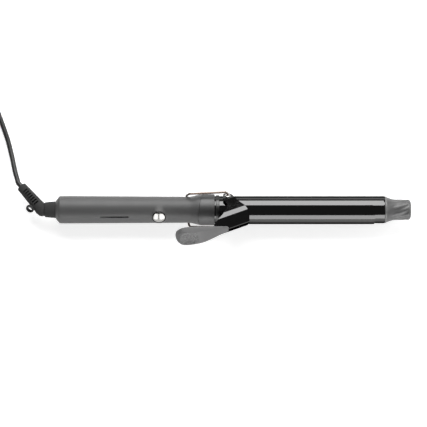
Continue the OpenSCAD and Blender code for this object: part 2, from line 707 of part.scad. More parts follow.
module contact_brushes() {
    brush_z = 6.1;
    x1 = -handle_reach + sleeve_wall + 0.2 + bush_len;
    color("gold") iron() for (k = [0, 1])
        translate([x1 + 2.8 + 2.8 * k, -1.5, brush_z])
            cube([1.2, 3, sqrt(pow(bore_r - fit, 2) - pow(1.5, 2)) - brush_z]);
}
module strain_relief() {
    slot_pitch = 2.3;
    color("#222222") union() {
        along_relief() difference() {
            union() {
                cylinder(h = relief_len, d1 = relief_root_d, d2 = relief_end_d);
                sphere(r = elbow_r);
            }
            for (k = [0 : relief_slots - 1], side = [90, 270])
                translate([0, 0, relief_len - 5 - slot_pitch * k]) rotate([0, 0, side])
                    translate([-3.1, 3.1, -0.6]) cube([6.2, 4, 1.2]);
        }
        on_floor() translate([-elbow_back - 12.4, 1.2, axis_h]) rotate([35, 25, 0])
            rotate_extrude() polygon([[loop_hole_d / 2, -0.6], [loop_hole_d / 2 + 0.5, -1.05],
                [loop_hole_d / 2 + 1.6, -1.05], [loop_hole_d / 2 + 2.1, -0.5],
                [loop_hole_d / 2 + 2.1, 0.5], [loop_hole_d / 2 + 1.6, 1.05],
                [loop_hole_d / 2 + 0.5, 1.05], [loop_hole_d / 2, 0.6]]);
    }
}

// Cord: a free stretch, the wound coil, and a short stretch to the plug
module cord() {
    color("#262626") on_floor() loft(tube_rings(spline(cord_route, 3), cord_r, 8));
}
module cord_coil() {
    color("#262626") on_floor() loft(tube_rings(coil_whole, cord_r, 6));
}
module cord_tail() {
    color("#262626") on_floor() loft(tube_rings(spline(tail_route, 3), cord_r, 8));
}
module cord_tie() {
    w = 8;
    r0 = coil_out - coil_pitch * coil_turns - cord_r - lay_gap;
    r1 = coil_out + cord_r + lay_gap;
    h = coil_top_z + cord_r + lay_gap;
    color("#111111") on_floor() translate([coil_x, coil_y, 0]) rotate([0, 0, 90]) difference() {
        translate([r0 - tie_t, -w / 2, 0]) cube([r1 - r0 + 2 * tie_t, w, h + tie_t]);
        translate([r0, -w, tie_t]) cube([r1 - r0, 2 * w, h - tie_t]);
    }
}
module plug_body() {
    r = 4;
    back = plug_w * 0.6;
    color("#1d1d1d") on_floor() translate([plug_x, plug_y, plug_z]) rotate([90, 0, 0]) {
        cylinder(h = plug_relief_len + 1, r1 = cord_r + 0.9, r2 = cord_r + 2.4);
        translate([0, 0, plug_relief_len]) hull() for (sx = [-1, 1], sy = [-1, 1]) {
            translate([sx * (back / 2 - r), sy * (plug_t / 2 - r), 0]) cylinder(h = 1, r = r, $fn = 24);
            translate([sx * (plug_w / 2 - r), sy * (plug_t / 2 - r), 12])
                cylinder(h = plug_len - 12, r = r, $fn = 24);
        }
    }
}
module plug_pins() {
    color("silver") on_floor() translate([plug_x, plug_y - plug_relief_len - plug_len, plug_z])
        rotate([90, 0, 0]) for (s = [-1, 1]) translate([s * pin_gap / 2, 0, 0]) {
            cylinder(h = pin_len - pin_d / 4, d = pin_d);
            translate([0, 0, pin_len - pin_d / 4]) cylinder(h = pin_d / 4, d1 = pin_d, d2 = pin_d / 2);
        }
}

handle_sleeve();
front_collar();
collar_ring();
board_carrier();
circuit_board();
board_parts();
tact_switch();
button_bezel();
power_button();
indicator_lens();
indicator_led();
barrel_tube();
insulator_bush();
heater_shoe_upper();
heater_shoe_lower();
ptc_heater();
thermistor();
thermal_fuse();
heater_leads();
tip_insulator();
cool_tip();
tip_screw();
hinge_posts();
pivot_eyelets();
clamp_bracket();
clamp_plate();
thumb_lever();
lever_screws();
leaf_spring();
stand_wire();
swivel_bush();
swivel_neck();
contact_rings();
contact_brushes();
strain_relief();
cord();
cord_coil();
cord_tail();
cord_tie();
plug_body();
plug_pins();
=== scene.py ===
"""Looks of a curling iron with a spring clamp, a wire stand and a swivel cord, for Blender 4.5.

Every piece is modelled in millimetres in the iron's own frame, with x along the barrel, z out of
the lever side and the origin on the hinge axis. It is then set down on the floor, leaning.
"""
import json
import math

import bpy
from mathutils import Matrix, Vector


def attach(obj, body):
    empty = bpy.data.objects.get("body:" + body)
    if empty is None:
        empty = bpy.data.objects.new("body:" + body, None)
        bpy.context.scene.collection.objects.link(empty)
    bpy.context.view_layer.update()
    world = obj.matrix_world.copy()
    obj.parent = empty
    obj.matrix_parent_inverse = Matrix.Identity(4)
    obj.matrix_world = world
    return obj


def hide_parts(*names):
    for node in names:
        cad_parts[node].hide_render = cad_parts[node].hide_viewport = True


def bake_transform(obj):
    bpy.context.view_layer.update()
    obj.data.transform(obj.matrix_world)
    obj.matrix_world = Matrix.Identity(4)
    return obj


bl_info = {
    "name": "Curling iron",
    "version": (1, 0, 0),
    "blender": (4, 5, 0),
    "location": "3D View > Sidebar > Iron",
    "description": "Models a curling iron, its cord and its studio, piece by piece",
    "category": "Object",
}

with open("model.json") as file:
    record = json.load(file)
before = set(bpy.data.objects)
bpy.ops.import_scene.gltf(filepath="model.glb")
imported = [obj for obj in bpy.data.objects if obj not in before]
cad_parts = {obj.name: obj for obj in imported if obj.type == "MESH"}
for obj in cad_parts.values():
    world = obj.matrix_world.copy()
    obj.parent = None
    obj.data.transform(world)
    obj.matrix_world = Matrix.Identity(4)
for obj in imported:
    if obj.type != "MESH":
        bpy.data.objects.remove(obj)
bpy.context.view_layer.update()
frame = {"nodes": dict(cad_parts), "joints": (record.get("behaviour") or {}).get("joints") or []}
HINGE = next(joint for joint in frame["joints"] if joint["name"] == "clamp_hinge")

MM = 0.001
PIVOT = Vector(HINGE["pos_m"])
LEAN = math.atan2(-HINGE["axis"][2], -HINGE["axis"][1])


# Sizes and colours that a user sets
def hex_colour(code):
    """Linear colour of an sRGB hex code."""
    def linear(value):
        return value / 12.92 if value <= 0.04045 else ((value + 0.055) / 1.055) ** 2.4

    return tuple(linear(int(code[i:i + 2], 16) / 255) for i in (1, 3, 5))


def size_property(name, description, millimetres):
    """A length that the user may change."""
    return bpy.props.FloatProperty(name=name, description=description, default=millimetres * MM,
                                   min=0.0, precision=5, unit="LENGTH", subtype="DISTANCE")


def colour_property(name, description, code):
    """A colour that the user may change."""
    return bpy.props.FloatVectorProperty(name=name, description=description, size=3, min=0.0, max=1.0,
                                         subtype="COLOR", default=hex_colour(code))


class IRON_PG_sizes(bpy.types.PropertyGroup):
    """Sizes of the iron."""

    barrel: size_property("Barrel", "Diameter of the heated barrel", 28.0)
    collar: size_property("Collar", "Diameter of the handle's collar", 32.1)
    grip: size_property("Grip", "Diameter of the handle before its collar", 27.0)
    rear: size_property("Rear", "Diameter of the handle at its rear", 28.5)
    tip: size_property("Tip", "Diameter of the slim part of the cool tip", 21.2)
    button: size_property("Button", "Diameter of the power button", 12.8)
    wire: size_property("Stand wire", "Diameter of the stand's wire", 2.2)
    cord: size_property("Cord", "Diameter of the cord", 5.2)
    seam: size_property("Seam", "Width of the seam between handle and collar", 0.25)


class IRON_PG_colours(bpy.types.PropertyGroup):
    """Colours of the iron and its studio."""

    lacquer: colour_property("Lacquer", "Metallic lacquer of handle, collar and lever", "#4C4C4C")
    lever: colour_property("Lever", "Paler lacquer of the thumb lever", "#636363")
    titanium: colour_property("Titanium", "Dark mirror coating of barrel, clamp plate and bracket", "#4D4D4D")
    button: colour_property("Button", "Turned metal of the power button", "#8F8E8C")
    chrome: colour_property("Chrome", "Bright plate of the eyelets", "#B4B2B0")
    wire: colour_property("Wire", "Plating of the stand's wire", "#7C6E66")
    steel: colour_property("Steel", "Plain steel inside", "#9B9B9B")
    resin: colour_property("Resin", "Heat-proof plastic of the tip", "#5A5A5A")
    insulator: colour_property("Insulator", "Pale ring before the tip", "#707070")
    rubber: colour_property("Rubber", "Cord, strain relief and plug", "#1B1B1B")
    smoke: colour_property("Smoke", "Dark window of the indicator", "#0C0C0C")
    floor: colour_property("Floor", "Pale floor of the studio", "#E6E6E6")


def sizes():
    return bpy.context.scene.iron_sizes


def size(name):
    """One of the user's sizes, in millimetres."""
    return getattr(sizes(), name) / MM


def colours():
    return bpy.context.scene.iron_colours


# Modelling by hand. A closed end starts as a circle of the pole's radius; fine forms have more sides
POLE, FINE = 0.01, 144


def deselect():
    bpy.ops.object.select_all(action="DESELECT")


def take(piece):
    """Makes the piece the only selected and active one."""
    deselect()
    piece.select_set(True)
    bpy.context.view_layer.objects.active = piece


def edit(piece, mode="VERT"):
    take(piece)
    bpy.ops.object.mode_set(mode="EDIT")
    bpy.ops.mesh.select_mode(type=mode)


def leave():
    bpy.ops.object.mode_set(mode="OBJECT")


def select_all():
    bpy.ops.mesh.select_all(action="SELECT")


def outward(piece):
    """Turns all faces outward and leaves edit mode."""
    select_all()
    bpy.ops.mesh.normals_make_consistent(inside=False)
    leave()
    return piece


def span(low, high, count):
    return [low + (high - low) * k / count for k in range(count + 1)]


def quarter(count):
    return span(0, math.pi / 2, count)


def turned(name, stations, sides=96):
    """A form turned about x: a circle that is extruded and resized through (x, radius) stations.

    A radius of 0 closes an end. Where the last station is the first, the wall closes on itself.
    """
    deselect()
    x, now = stations[0][0], max(stations[0][1], POLE)
    bpy.ops.mesh.primitive_circle_add(vertices=sides, radius=now, location=(0, 0, 0),
                                      rotation=(0, math.pi / 2, 0))
    piece = bpy.context.object
    piece.name = name
    bpy.ops.object.transform_apply(rotation=True)
    edit(piece)
    select_all()
    bpy.ops.transform.translate(value=(x, 0, 0))
    for place, radius in stations[1:]:
        goal = max(radius, POLE)
        bpy.ops.mesh.extrude_edges_move(TRANSFORM_OT_translate={"value": (place - x, 0, 0)})
        bpy.ops.transform.resize(value=(1, goal / now, goal / now), center_override=(place, 0, 0))
        x, now = place, goal
    select_all()
    bpy.ops.mesh.remove_doubles(threshold=0.0003)
    for place, radius in (stations[0], stations[-1]):
        if radius > 0:
            continue
        bpy.ops.mesh.select_all(action="DESELECT")
        leave()
        for corner in piece.data.vertices:
            corner.select = (abs(corner.co.x - place) < 1e-4
                             and math.hypot(corner.co.y, corner.co.z) < POLE * 1.01)
        bpy.ops.object.mode_set(mode="EDIT")
        bpy.ops.mesh.merge(type="CENTER")
    return outward(piece)


def upright(name, stations, sides=72):
    """A form turned about z, through (height, radius) stations."""
    return turn(turned(name, stations, sides), -90, "Y")


def crosswise(name, stations, side, sides=48):
    """A form turned about y on one side, through (distance out, radius) stations."""
    return turn(turned(name, stations, sides), 90 * side, "Z")


def filled(name, corners):
    """A filled circle whose corners are put in place, selected and ready to be extruded."""
    deselect()
    bpy.ops.mesh.primitive_circle_add(vertices=len(corners), radius=1, fill_type="NGON")
    piece = bpy.context.object
    piece.name = name
    for corner, place in zip(piece.data.vertices, corners):
        corner.co = place
    edit(piece, "FACE")
    select_all()
    return piece


def rod(low, high, radius):
    """Stations of a plain round rod."""
    return [(low, 0), (low, radius), (high, radius), (high, 0)]


def prism(name, outline, low, high, axis="y"):
    """A flat outline, filled and extruded from low to high along y, or along z or x."""
    at = "xyz".index(axis)
    piece = filled(name, [(*point[:at], low, *point[at:]) for point in outline])
    step = [high - low if k == at else 0 for k in range(3)]
    bpy.ops.mesh.extrude_region_move(TRANSFORM_OT_translate={"value": step})
    return outward(piece)


def lofted(name, rings):
    """A skin through rings of equally many points, extruded from ring to ring."""
    piece = filled(name, rings[0])
    for ring in rings[1:]:
        bpy.ops.mesh.extrude_region_move()
        leave()
        new = [corner for corner in piece.data.vertices if corner.select]
        for corner, place in zip(new, ring):
            corner.co = place
        bpy.ops.object.mode_set(mode="EDIT")
    return outward(piece)


def ball(place, segments, rings):
    """A unit ball brought to its place by a matrix."""
    deselect()
    bpy.ops.mesh.primitive_uv_sphere_add(segments=segments, ring_count=rings, radius=1)
    piece = bpy.context.object
    piece.data.transform(place)
    return piece


def tube(name, points, radius, resolution):
    """A round wire through points."""
    data = bpy.data.curves.new(name, "CURVE")
    data.dimensions = "3D"
    data.bevel_depth, data.bevel_resolution, data.use_fill_caps = radius, resolution, True
    spline = data.splines.new("POLY")
    spline.points.add(len(points) - 1)
    for point, place in zip(spline.points, points):
        point.co = (*place, 1.0)
    piece = bpy.data.objects.new(name, data)
    bpy.context.scene.collection.objects.link(piece)
    take(piece)
    bpy.ops.object.convert(target="MESH")
    return bpy.context.object


def arc(before, here, after, radius, most, steps):
    """Points that round a corner, and take up at most that share of its sides."""
    back, ahead = before - here, after - here
    cut = min(radius / math.tan(back.angle(ahead) / 2), back.length * most, ahead.length * most)
    start, end = here + back.normalized() * cut, here + ahead.normalized() * cut
    return [start * (1 - t) ** 2 + here * 2 * t * (1 - t) + end * t * t for t in span(0, 1, steps)]


def rounded(corners, radii, steps=6):
    """Rounds each corner of an outline by its radius."""
    result, straight = [], math.radians(178)
    for i in range(len(corners)):
        radius = radii[i] if isinstance(radii, (list, tuple)) else radii
        before, here, after = [Vector(corners[k % len(corners)]) for k in (i - 1, i, i + 1)]
        if radius <= 0 or (before - here).angle(after - here) > straight:
            result.append(tuple(here))
        else:
            result += [tuple(point) for point in arc(before, here, after, radius, 0.48, steps)]
    return result


def fillet_route(points, radius, steps):
    """A route of straight runs whose corners are turned into arcs."""
    route = [points[0]]
    for before, here, after in zip(points, points[1:], points[2:]):
        route += arc(before, here, after, radius, 0.49, steps)
    return route + [points[-1]]


def curve_through(points, steps):
    """Points of a smooth curve, straight in its first and last span."""
    points, last, made = [Vector(point) for point in points], len(points) - 1, []
    for i in range(last):
        for k in range(steps):
            t = k / steps
            if i in (0, last - 1):
                made.append(points[i].lerp(points[i + 1], t))
                continue
            a, b, c, d = points[i - 1:i + 3]
            made.append(0.5 * (2 * b + (c - a) * t + (2 * a - 5 * b + 4 * c - d) * t * t
                               + (3 * b - a - 3 * c + d) * t ** 3))
    return made + [points[-1]]


def modify(piece, kind, **settings):
    """Adds a modifier and applies it."""
    take(piece)
    modifier = piece.modifiers.new(kind.title(), kind)
    for name, value in settings.items():
        setattr(modifier, name, value)
    bpy.ops.object.modifier_apply(modifier=modifier.name)
    return piece


def boolean(piece, tool, operation="DIFFERENCE"):
    """Cuts, joins or trims the piece with a tool, which is used up."""
    modify(piece, "BOOLEAN", operation=operation, object=tool, solver="MANIFOLD")
    bpy.data.objects.remove(tool, do_unlink=True)
    return piece


def soften(piece, width, segments, angle=28, firm=False):
    """Rounds every edge that is sharper than the angle. Firm keeps the flats flat in the light."""
    return modify(piece, "BEVEL", width=width, segments=segments, limit_method="ANGLE",
                  angle_limit=math.radians(angle), use_clamp_overlap=True, miter_outer="MITER_ARC",
                  harden_normals=firm)


def smooth(piece, angle):
    """Shades the faces smooth and leaves the edges that are sharper than the angle."""
    take(piece)
    bpy.ops.object.shade_smooth_by_angle(angle=math.radians(angle))
    return piece


def turn(piece, degrees, axis):
    """Turns the mesh of a piece about one of its frame's axes."""
    piece.data.transform(Matrix.Rotation(math.radians(degrees), 4, axis))
    return piece


def move(piece, offset):
    piece.data.transform(Matrix.Translation(Vector(offset)))
    return piece


def copy_of(piece, name):
    twin = piece.copy()
    twin.data = piece.data.copy()
    twin.name = name
    bpy.context.scene.collection.objects.link(twin)
    return twin


# From millimetres in the iron's own frame, and from millimetres on the floor under its hinge
IRON_PLACE = Matrix.Translation(PIVOT) @ Matrix.Rotation(LEAN, 4, "X") @ Matrix.Scale(MM, 4)
FLOOR_PLACE = Matrix.Translation((PIVOT.x, PIVOT.y, 0)) @ Matrix.Scale(MM, 4)


def set_down(piece, body, material, nodes, angle=None, place=IRON_PLACE):
    """Brings a piece onto the floor and gives it its body and finish. With an angle it is smoothed first."""
    if angle:
        smooth(piece, angle)
    piece.matrix_world = place
    take(piece)
    bpy.ops.object.transform_apply(location=True, rotation=True, scale=True)
    piece.data.materials.clear()
    piece.data.materials.append(material)
    if body:
        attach(piece, body)
    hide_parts(*nodes)


# Finishes
def add_node(tree, kind, settings=None, feeds=None):
    """Adds one node with its settings and with what feeds its inputs."""
    node = tree.nodes.new(kind)
    for name, value in (settings or {}).items():
        if isinstance(name, int) or name in node.inputs:
            node.inputs[name].default_value = value
        else:
            setattr(node, name, value)
    for name, socket in (feeds or {}).items():
        tree.links.new(socket, node.inputs[name])
    return node


def noise(tree, lump, detail, place):
    """Noise whose lumps have a size in millimetres."""
    return add_node(tree, "ShaderNodeTexNoise", {"Scale": 1 / (lump * MM), "Detail": detail},
                    {"Vector": place}).outputs["Fac"]


def finish(name, colour, roughness, shade=1, metallic=0.0, ior=1.5, grain=None, haze=None, tone=None,
           edge=1.0, stretch=(1, 1, 1)):
    """Names one surface. What it returns makes the material when it is first called for.

    The colour is one of the user's or a hex code, and shade multiplies it. Grain stands out by a depth,
    haze is an unevenness of the gloss and tone one of the colour: each a pair with its size in millimetres
    first. Stretch draws the pattern out along the iron's own axes. Edge is how much of its gloss a metal
    keeps where it is seen at a slant.
    """
    def made():
        if name in bpy.data.materials:
            return bpy.data.materials[name]
        base = hex_colour(colour) if colour[0] == "#" else tuple(getattr(colours(), colour))
        base = tuple(c * shade for c in base)
        material = bpy.data.materials.new(name)
        material.use_nodes = True
        tree = material.node_tree
        shader = tree.nodes["Principled BSDF"]
        for socket, value in (("Base Color", (*base, 1)), ("Roughness", roughness), ("Metallic", metallic),
                              ("IOR", ior), ("Specular Tint", (edge, edge, edge, 1))):
            shader.inputs[socket].default_value = value
        coordinates = add_node(tree, "ShaderNodeTexCoord")
        mapping = add_node(tree, "ShaderNodeMapping", {"Rotation": (-LEAN, 0, 0), "Scale": stretch},
                           {"Vector": coordinates.outputs["Object"]})
        place = mapping.outputs["Vector"]
        if tone:
            lump, share = tone
            blend = add_node(tree, "ShaderNodeValToRGB", feeds={"Fac": noise(tree, lump, 3.0, place)})
            for stop, position, k in zip(blend.color_ramp.elements, (0.3, 0.7), (1 - share, 1 + share)):
                stop.position, stop.color = position, (*(max(0.0, min(1.0, c * k)) for c in base), 1)
            tree.links.new(blend.outputs["Color"], shader.inputs["Base Color"])
        if haze:
            lump, change = haze
            band = add_node(tree, "ShaderNodeMapRange", {
                "From Min": 0.3, "From Max": 0.7, "To Min": max(0.02, roughness - change),
                "To Max": roughness + change}, {"Value": noise(tree, lump, 4.0, place)})
            tree.links.new(band.outputs["Result"], shader.inputs["Roughness"])
        if grain:
            lump, depth = grain
            bump = add_node(tree, "ShaderNodeBump", {"Strength": 1.0, "Distance": depth * MM},
                            {"Height": noise(tree, lump, 2.0, place)})
            tree.links.new(bump.outputs["Normal"], shader.inputs["Normal"])
        return material

    return made


# Metallic lacquer sprayed on moulded plastic: fine flakes in a satin film, slightly uneven gloss
lacquer = finish("metallic_lacquer", "lacquer", 0.5, metallic=0.12, haze=(14, 0.03), tone=(0.35, 0.05),
                 grain=(0.5, 0.002))
# The same lacquer over a polished collar: deeper, with stronger highlights
collar_lacquer = finish("collar_lacquer", "lacquer", 0.5, shade=1.25, metallic=0.8, haze=(10, 0.02),
                        tone=(0.35, 0.04), grain=(0.6, 0.0015), edge=0.7)
# The lever's lacquer: a shade paler and flatter than the sleeve's
lever_lacquer = finish("lever_lacquer", "lever", 0.48, metallic=0.1, haze=(9, 0.03), tone=(0.4, 0.06),
                       grain=(0.5, 0.003))
# Smoked plate on the ring: dark between its highlights
ring_plate = finish("smoked_plate", "titanium", 0.38, metallic=1.0, haze=(6, 0.03), grain=(0.6, 0.001),
                    edge=0.4)
# Black titanium nitride on aluminium: a dark mirror with faint wipe marks along the barrel
titanium = finish("black_titanium", "titanium", 0.07, metallic=1.0, haze=(18, 0.02), grain=(6.0, 0.002),
                  stretch=(0.25, 1, 1), edge=0.12)
# The same dark coating on pressed steel, with a little orange peel from the tool
pressed_black = finish("black_pressed_steel", "titanium", 0.09, metallic=1.0, haze=(7, 0.03),
                       grain=(1.6, 0.003), edge=0.08)
# Bright plate on steel: a mirror with hairline wear
chrome = finish("chrome_plate", "chrome", 0.12, metallic=1.0, haze=(3, 0.04), grain=(0.7, 0.001))
# Drawn spring wire under a thin warm plating: satin lines along the wire, dark at its edges
wire_steel = finish("plated_wire", "wire", 0.24, metallic=1.0, haze=(2.5, 0.06), grain=(0.3, 0.002),
                    stretch=(0.2, 1, 1), edge=0.4)
# Button: satin plate that blurs what it mirrors, with a faint grain
satin_chrome = finish("satin_chrome", "button", 0.16, metallic=1.0, haze=(1.5, 0.04), grain=(0.5, 0.001),
                      edge=0.7)
# Glass-filled plastic for the tip: satin with short fibres under the skin
resin = finish("glass_filled_resin", "resin", 0.42, metallic=0.3, haze=(5, 0.04), tone=(0.5, 0.06),
               grain=(0.45, 0.004))
# Satin metal-look ring that parts the hot barrel from the tip
insulator = finish("pale_insulator", "insulator", 0.45, metallic=0.3, haze=(3, 0.05), tone=(0.4, 0.04),
                   grain=(0.3, 0.002))
# Moulded PVC of the cord: dark with a soft sheen and a fine spark-eroded grain
rubber = finish("moulded_pvc", "rubber", 0.42, haze=(4, 0.06), tone=(0.7, 0.1), grain=(0.35, 0.01))
# Soft rubber of neck and strain relief: matt and nearly without sheen, so its ribs show as plain tones
soft_rubber = finish("soft_rubber", "rubber", 0.75, shade=4, ior=1.15, haze=(3, 0.06), tone=(0.6, 0.1),
                     grain=(0.3, 0.01))
# Smoked acrylic of window and bezel: nearly black, with a depth that shows only in its gloss
smoke = finish("smoked_acrylic", "smoke", 0.1, ior=1.49, haze=(4, 0.03), tone=(1.5, 0.1))
# Stippled thumb rest: the lacquer over small moulded bumps that take the shine off
thumb_stipple = finish("thumb_stipple", "lever", 0.5, shade=1.2, metallic=0.1, haze=(1.2, 0.08),
                       tone=(0.8, 0.6), grain=(1.0, 0.5))
# Bare steel of spring, screws and pins: dull, drawn along its length
plain_steel = finish("plain_steel", "steel", 0.28, metallic=1.0, haze=(2, 0.07), grain=(0.25, 0.002),
                     stretch=(0.3, 1, 1))
# Moulded nylon of plug and bush: dark, finer and harder than the cord's sleeve
moulded_black = finish("moulded_nylon", "rubber", 0.4, haze=(5, 0.05), tone=(0.6, 0.06), grain=(0.3, 0.006))
# Woven strap: matt black yarn that shows as a fine rib across the strap
webbing = finish("woven_strap", "rubber", 0.8, haze=(2, 0.1), tone=(0.5, 0.35), grain=(0.6, 0.12),
                 stretch=(1, 2.5, 1))
# Grey moulded frame of the board: plain matt plastic
carrier_plastic = finish("carrier_plastic", "#6F6F72", 0.55, haze=(4, 0.06), tone=(1.0, 0.05),
                         grain=(0.3, 0.008))
# Green film over copper: glossy, with tracks that show as lighter lines
solder_mask = finish("solder_mask", "#1E6B3C", 0.3, haze=(1.5, 0.1), tone=(1.2, 0.45), grain=(1.2, 0.03),
                     stretch=(0.2, 1, 1))
# Black epoxy of small parts, matt with a moulding grain
component_case = finish("component_case", "#2A2A2C", 0.5, haze=(2, 0.08), tone=(0.8, 0.1),
                        grain=(0.2, 0.006))
# Milky resin of the small lamps
clear_lamp = finish("clear_lamp", "#E9E7DC", 0.25, haze=(1, 0.08), tone=(0.5, 0.04), grain=(0.4, 0.003))
# Unglazed ceramic: chalky, with a cast skin
fired_clay = finish("fired_clay", "#E6DFCB", 0.75, haze=(3, 0.1), tone=(0.7, 0.05), grain=(0.25, 0.02))
# Extruded aluminium: satin lines along its length
drawn_aluminium = finish("drawn_aluminium", "#C4C5C8", 0.35, metallic=1.0, haze=(1.5, 0.1),
                         grain=(0.4, 0.01), stretch=(0.05, 1, 1))
# Brown insulating film wrapped round the heater strip
heater_foil = finish("heater_foil", "#A87B45", 0.4, haze=(2, 0.1), tone=(2.5, 0.12), grain=(1.5, 0.03))
# Braided glass-fibre sleeve of the leads
glass_sleeve = finish("glass_sleeve", "#DEDEDA", 0.7, haze=(1, 0.1), tone=(0.4, 0.08), grain=(0.35, 0.05))
# Turned brass with fine tool lines
contact_brass = finish("contact_brass", "#C9A65A", 0.25, metallic=1.0, haze=(0.8, 0.08), tone=(1, 0.05),
                       grain=(0.15, 0.004), stretch=(6, 1, 1))


# Studio. The camera's turn from square to the lever's plane, its distance, where it aims along the iron and
# how far below its axis, and its focal length in pixels
VIEW_TURN, VIEW_AWAY, AIM_X, AIM_DOWN = math.radians(34), 2.4, -14.5, 3.9
FOCAL_PIXELS, PHOTO_PIXELS, SENSOR = 2330, 427, 36
BOX_AWAY, CARD_AWAY = 1.25, 1.1
SIDEWAYS = Vector((1, 0, 0))
# Each box: the angles above or below the camera's line that it spans, its ends along x, its level
BOXES = (("box_far", 37, 83, -0.6, 0.3, 6.0), ("box_far_end", 42, 66, 0.3, 0.88, 6.0),
         ("box_near_left", -45, -80, -0.6, -0.17, 4.2), ("box_near_right", -45, -80, -0.03, 0.9, 4.2))


def soft_box(name, place, away, along_way, length, width, level):
    """An even rectangle of light that shines against the away direction."""
    deselect()
    bpy.ops.object.light_add(type="AREA", location=place)
    lamp = bpy.context.object
    lamp.name = name
    lamp.data.shape = "RECTANGLE"
    lamp.data.size, lamp.data.size_y = length, width
    # An area lamp's radiance is its power over pi and its area
    lamp.data.energy = level * math.pi * length * width
    lamp.rotation_mode = "QUATERNION"
    z = away.normalized()
    x = (along_way - z * along_way.dot(z)).normalized()
    lamp.rotation_quaternion = Matrix((x, z.cross(x), z)).transposed().to_quaternion()


def studio_paper():
    """Matt paper with a fine fibre. It glows to the camera and in mirrors, which keeps its shadows faint."""
    paper = bpy.data.materials.new("studio_paper")
    paper.use_nodes = True
    tree = paper.node_tree
    shader = tree.nodes["Principled BSDF"]
    shader.inputs["Base Color"].default_value = (*colours().floor, 1)
    shader.inputs["Roughness"].default_value = 0.9
    coordinates = add_node(tree, "ShaderNodeTexCoord")
    fibre = add_node(tree, "ShaderNodeTexNoise", {"Scale": 900.0, "Detail": 2.0},
                     {"Vector": coordinates.outputs["Object"]})
    bump = add_node(tree, "ShaderNodeBump", {"Strength": 0.2, "Distance": 0.0001},
                    {"Height": fibre.outputs["Fac"]})
    tree.links.new(bump.outputs["Normal"], shader.inputs["Normal"])
    path = add_node(tree, "ShaderNodeLightPath")
    seen = path.outputs["Is Camera Ray"]
    for ray in ("Is Glossy Ray", "Is Transmission Ray"):
        seen = add_node(tree, "ShaderNodeMath", {"operation": "MAXIMUM"},
                        {0: seen, 1: path.outputs[ray]}).outputs["Value"]
    glow = add_node(tree, "ShaderNodeEmission", {"Color": (1, 1, 1, 1), "Strength": 0.6})
    both = add_node(tree, "ShaderNodeAddShader",
                    feeds={0: shader.outputs["BSDF"], 1: glow.outputs["Emission"]})
    mix = add_node(tree, "ShaderNodeMixShader",
                   feeds={0: seen, 1: shader.outputs["BSDF"], 2: both.outputs["Shader"]})
    tree.links.new(mix.outputs["Shader"], tree.nodes["Material Output"].inputs["Surface"])
    return paper


def studio_air():
    """A pale glow at the horizon that falls off to a dim ceiling."""
    world = bpy.data.worlds.new("studio_air")
    world.use_nodes = True
    tree = world.node_tree
    background = tree.nodes["Background"]
    coordinates = add_node(tree, "ShaderNodeTexCoord")
    split = add_node(tree, "ShaderNodeSeparateXYZ", feeds={"Vector": coordinates.outputs["Generated"]})
    level = add_node(tree, "ShaderNodeMapRange", {"interpolation_type": "SMOOTHSTEP", "From Min": 0.0,
                                                  "From Max": 0.3, "To Min": 0.35, "To Max": 0.1},
                     {"Value": split.outputs["Z"]})
    background.inputs["Color"].default_value = (1, 1, 1, 1)
    tree.links.new(level.outputs["Result"], background.inputs["Strength"])
    return world


class IRON_OT_studio(bpy.types.Operator):
    """Pale floor, soft boxes before and behind, a card beside the tip, and the camera"""

    bl_idname = "iron.studio"
    bl_label = "Studio"

    def execute(self, context):
        scene = context.scene
        elevation = math.pi / 2 - LEAN + VIEW_TURN
        up = Vector((0, math.sin(elevation), math.cos(elevation)))
        back = Vector((0, -math.cos(elevation), math.sin(elevation)))
        target = PIVOT + Vector((AIM_X, 0, 0)) * MM - up * AIM_DOWN * MM
        deselect()
        bpy.ops.object.camera_add(location=target + back * VIEW_AWAY)
        camera = context.object
        camera.rotation_mode = "QUATERNION"
        camera.rotation_quaternion = (-back).to_track_quat("-Z", "Y")
        camera.data.sensor_width = SENSOR
        camera.data.lens = SENSOR * FOCAL_PIXELS / PHOTO_PIXELS
        camera.data.clip_start, camera.data.clip_end = 0.05, 30
        scene.camera = camera
        scene.view_settings.view_transform = "Standard"

        deselect()
        bpy.ops.mesh.primitive_plane_add(size=7, location=(0, 0, -0.0002))
        floor = context.object
        floor.name = "studio_floor"
        floor.data.materials.append(studio_paper())
        scene.world = studio_air()

        for name, first, last, left, right, level in BOXES:
            middle = math.radians((first + last) / 2)
            away = back * math.cos(middle) + up * math.sin(middle)
            place = target + away * BOX_AWAY + Vector(((left + right) / 2, 0, 0))
            width = 2 * BOX_AWAY * math.tan(math.radians(abs(last - first) / 2))
            soft_box(name, place, away, SIDEWAYS, right - left, width, level)
        # The card lights the rims that face along the barrel
        away = (SIDEWAYS + back * 0.12 + up * 0.2).normalized()
        soft_box("card_side", target + away * CARD_AWAY, away, up, 0.6, 0.9, 4.0)
        return {"FINISHED"}


# Cord. It starts inside the relief's mouth and lies in a coil whose layers wind in and out by turns
RELIEF_WAY = Vector((-0.651, 0.745, -0.148)).normalized()
ELBOW = Vector((-191.2, 0, 16.05))
RELIEF_END = ELBOW + RELIEF_WAY * 32.6
# Turns in a layer, layers, and the distance of one turn or layer from the next
COIL_TURNS, COIL_LAYERS, COIL_PITCH = 3.125, 4, 5.7
COIL_OUT = 30 + COIL_PITCH * COIL_TURNS / 2
COIL_SIDE, COIL_Y, COIL_Z = -248.0, 150.0, 3.9
COIL_X = COIL_SIDE - COIL_OUT
COIL_TOP = COIL_Z + (COIL_LAYERS - 1) * COIL_PITCH
PLUG = Vector((COIL_X - COIL_OUT, 98.0, 6.9))
CORD = 5.2
# Half the distance between the pins, and the play between strap and coil
PIN_SIDE, PLAY = 9.3, 0.3


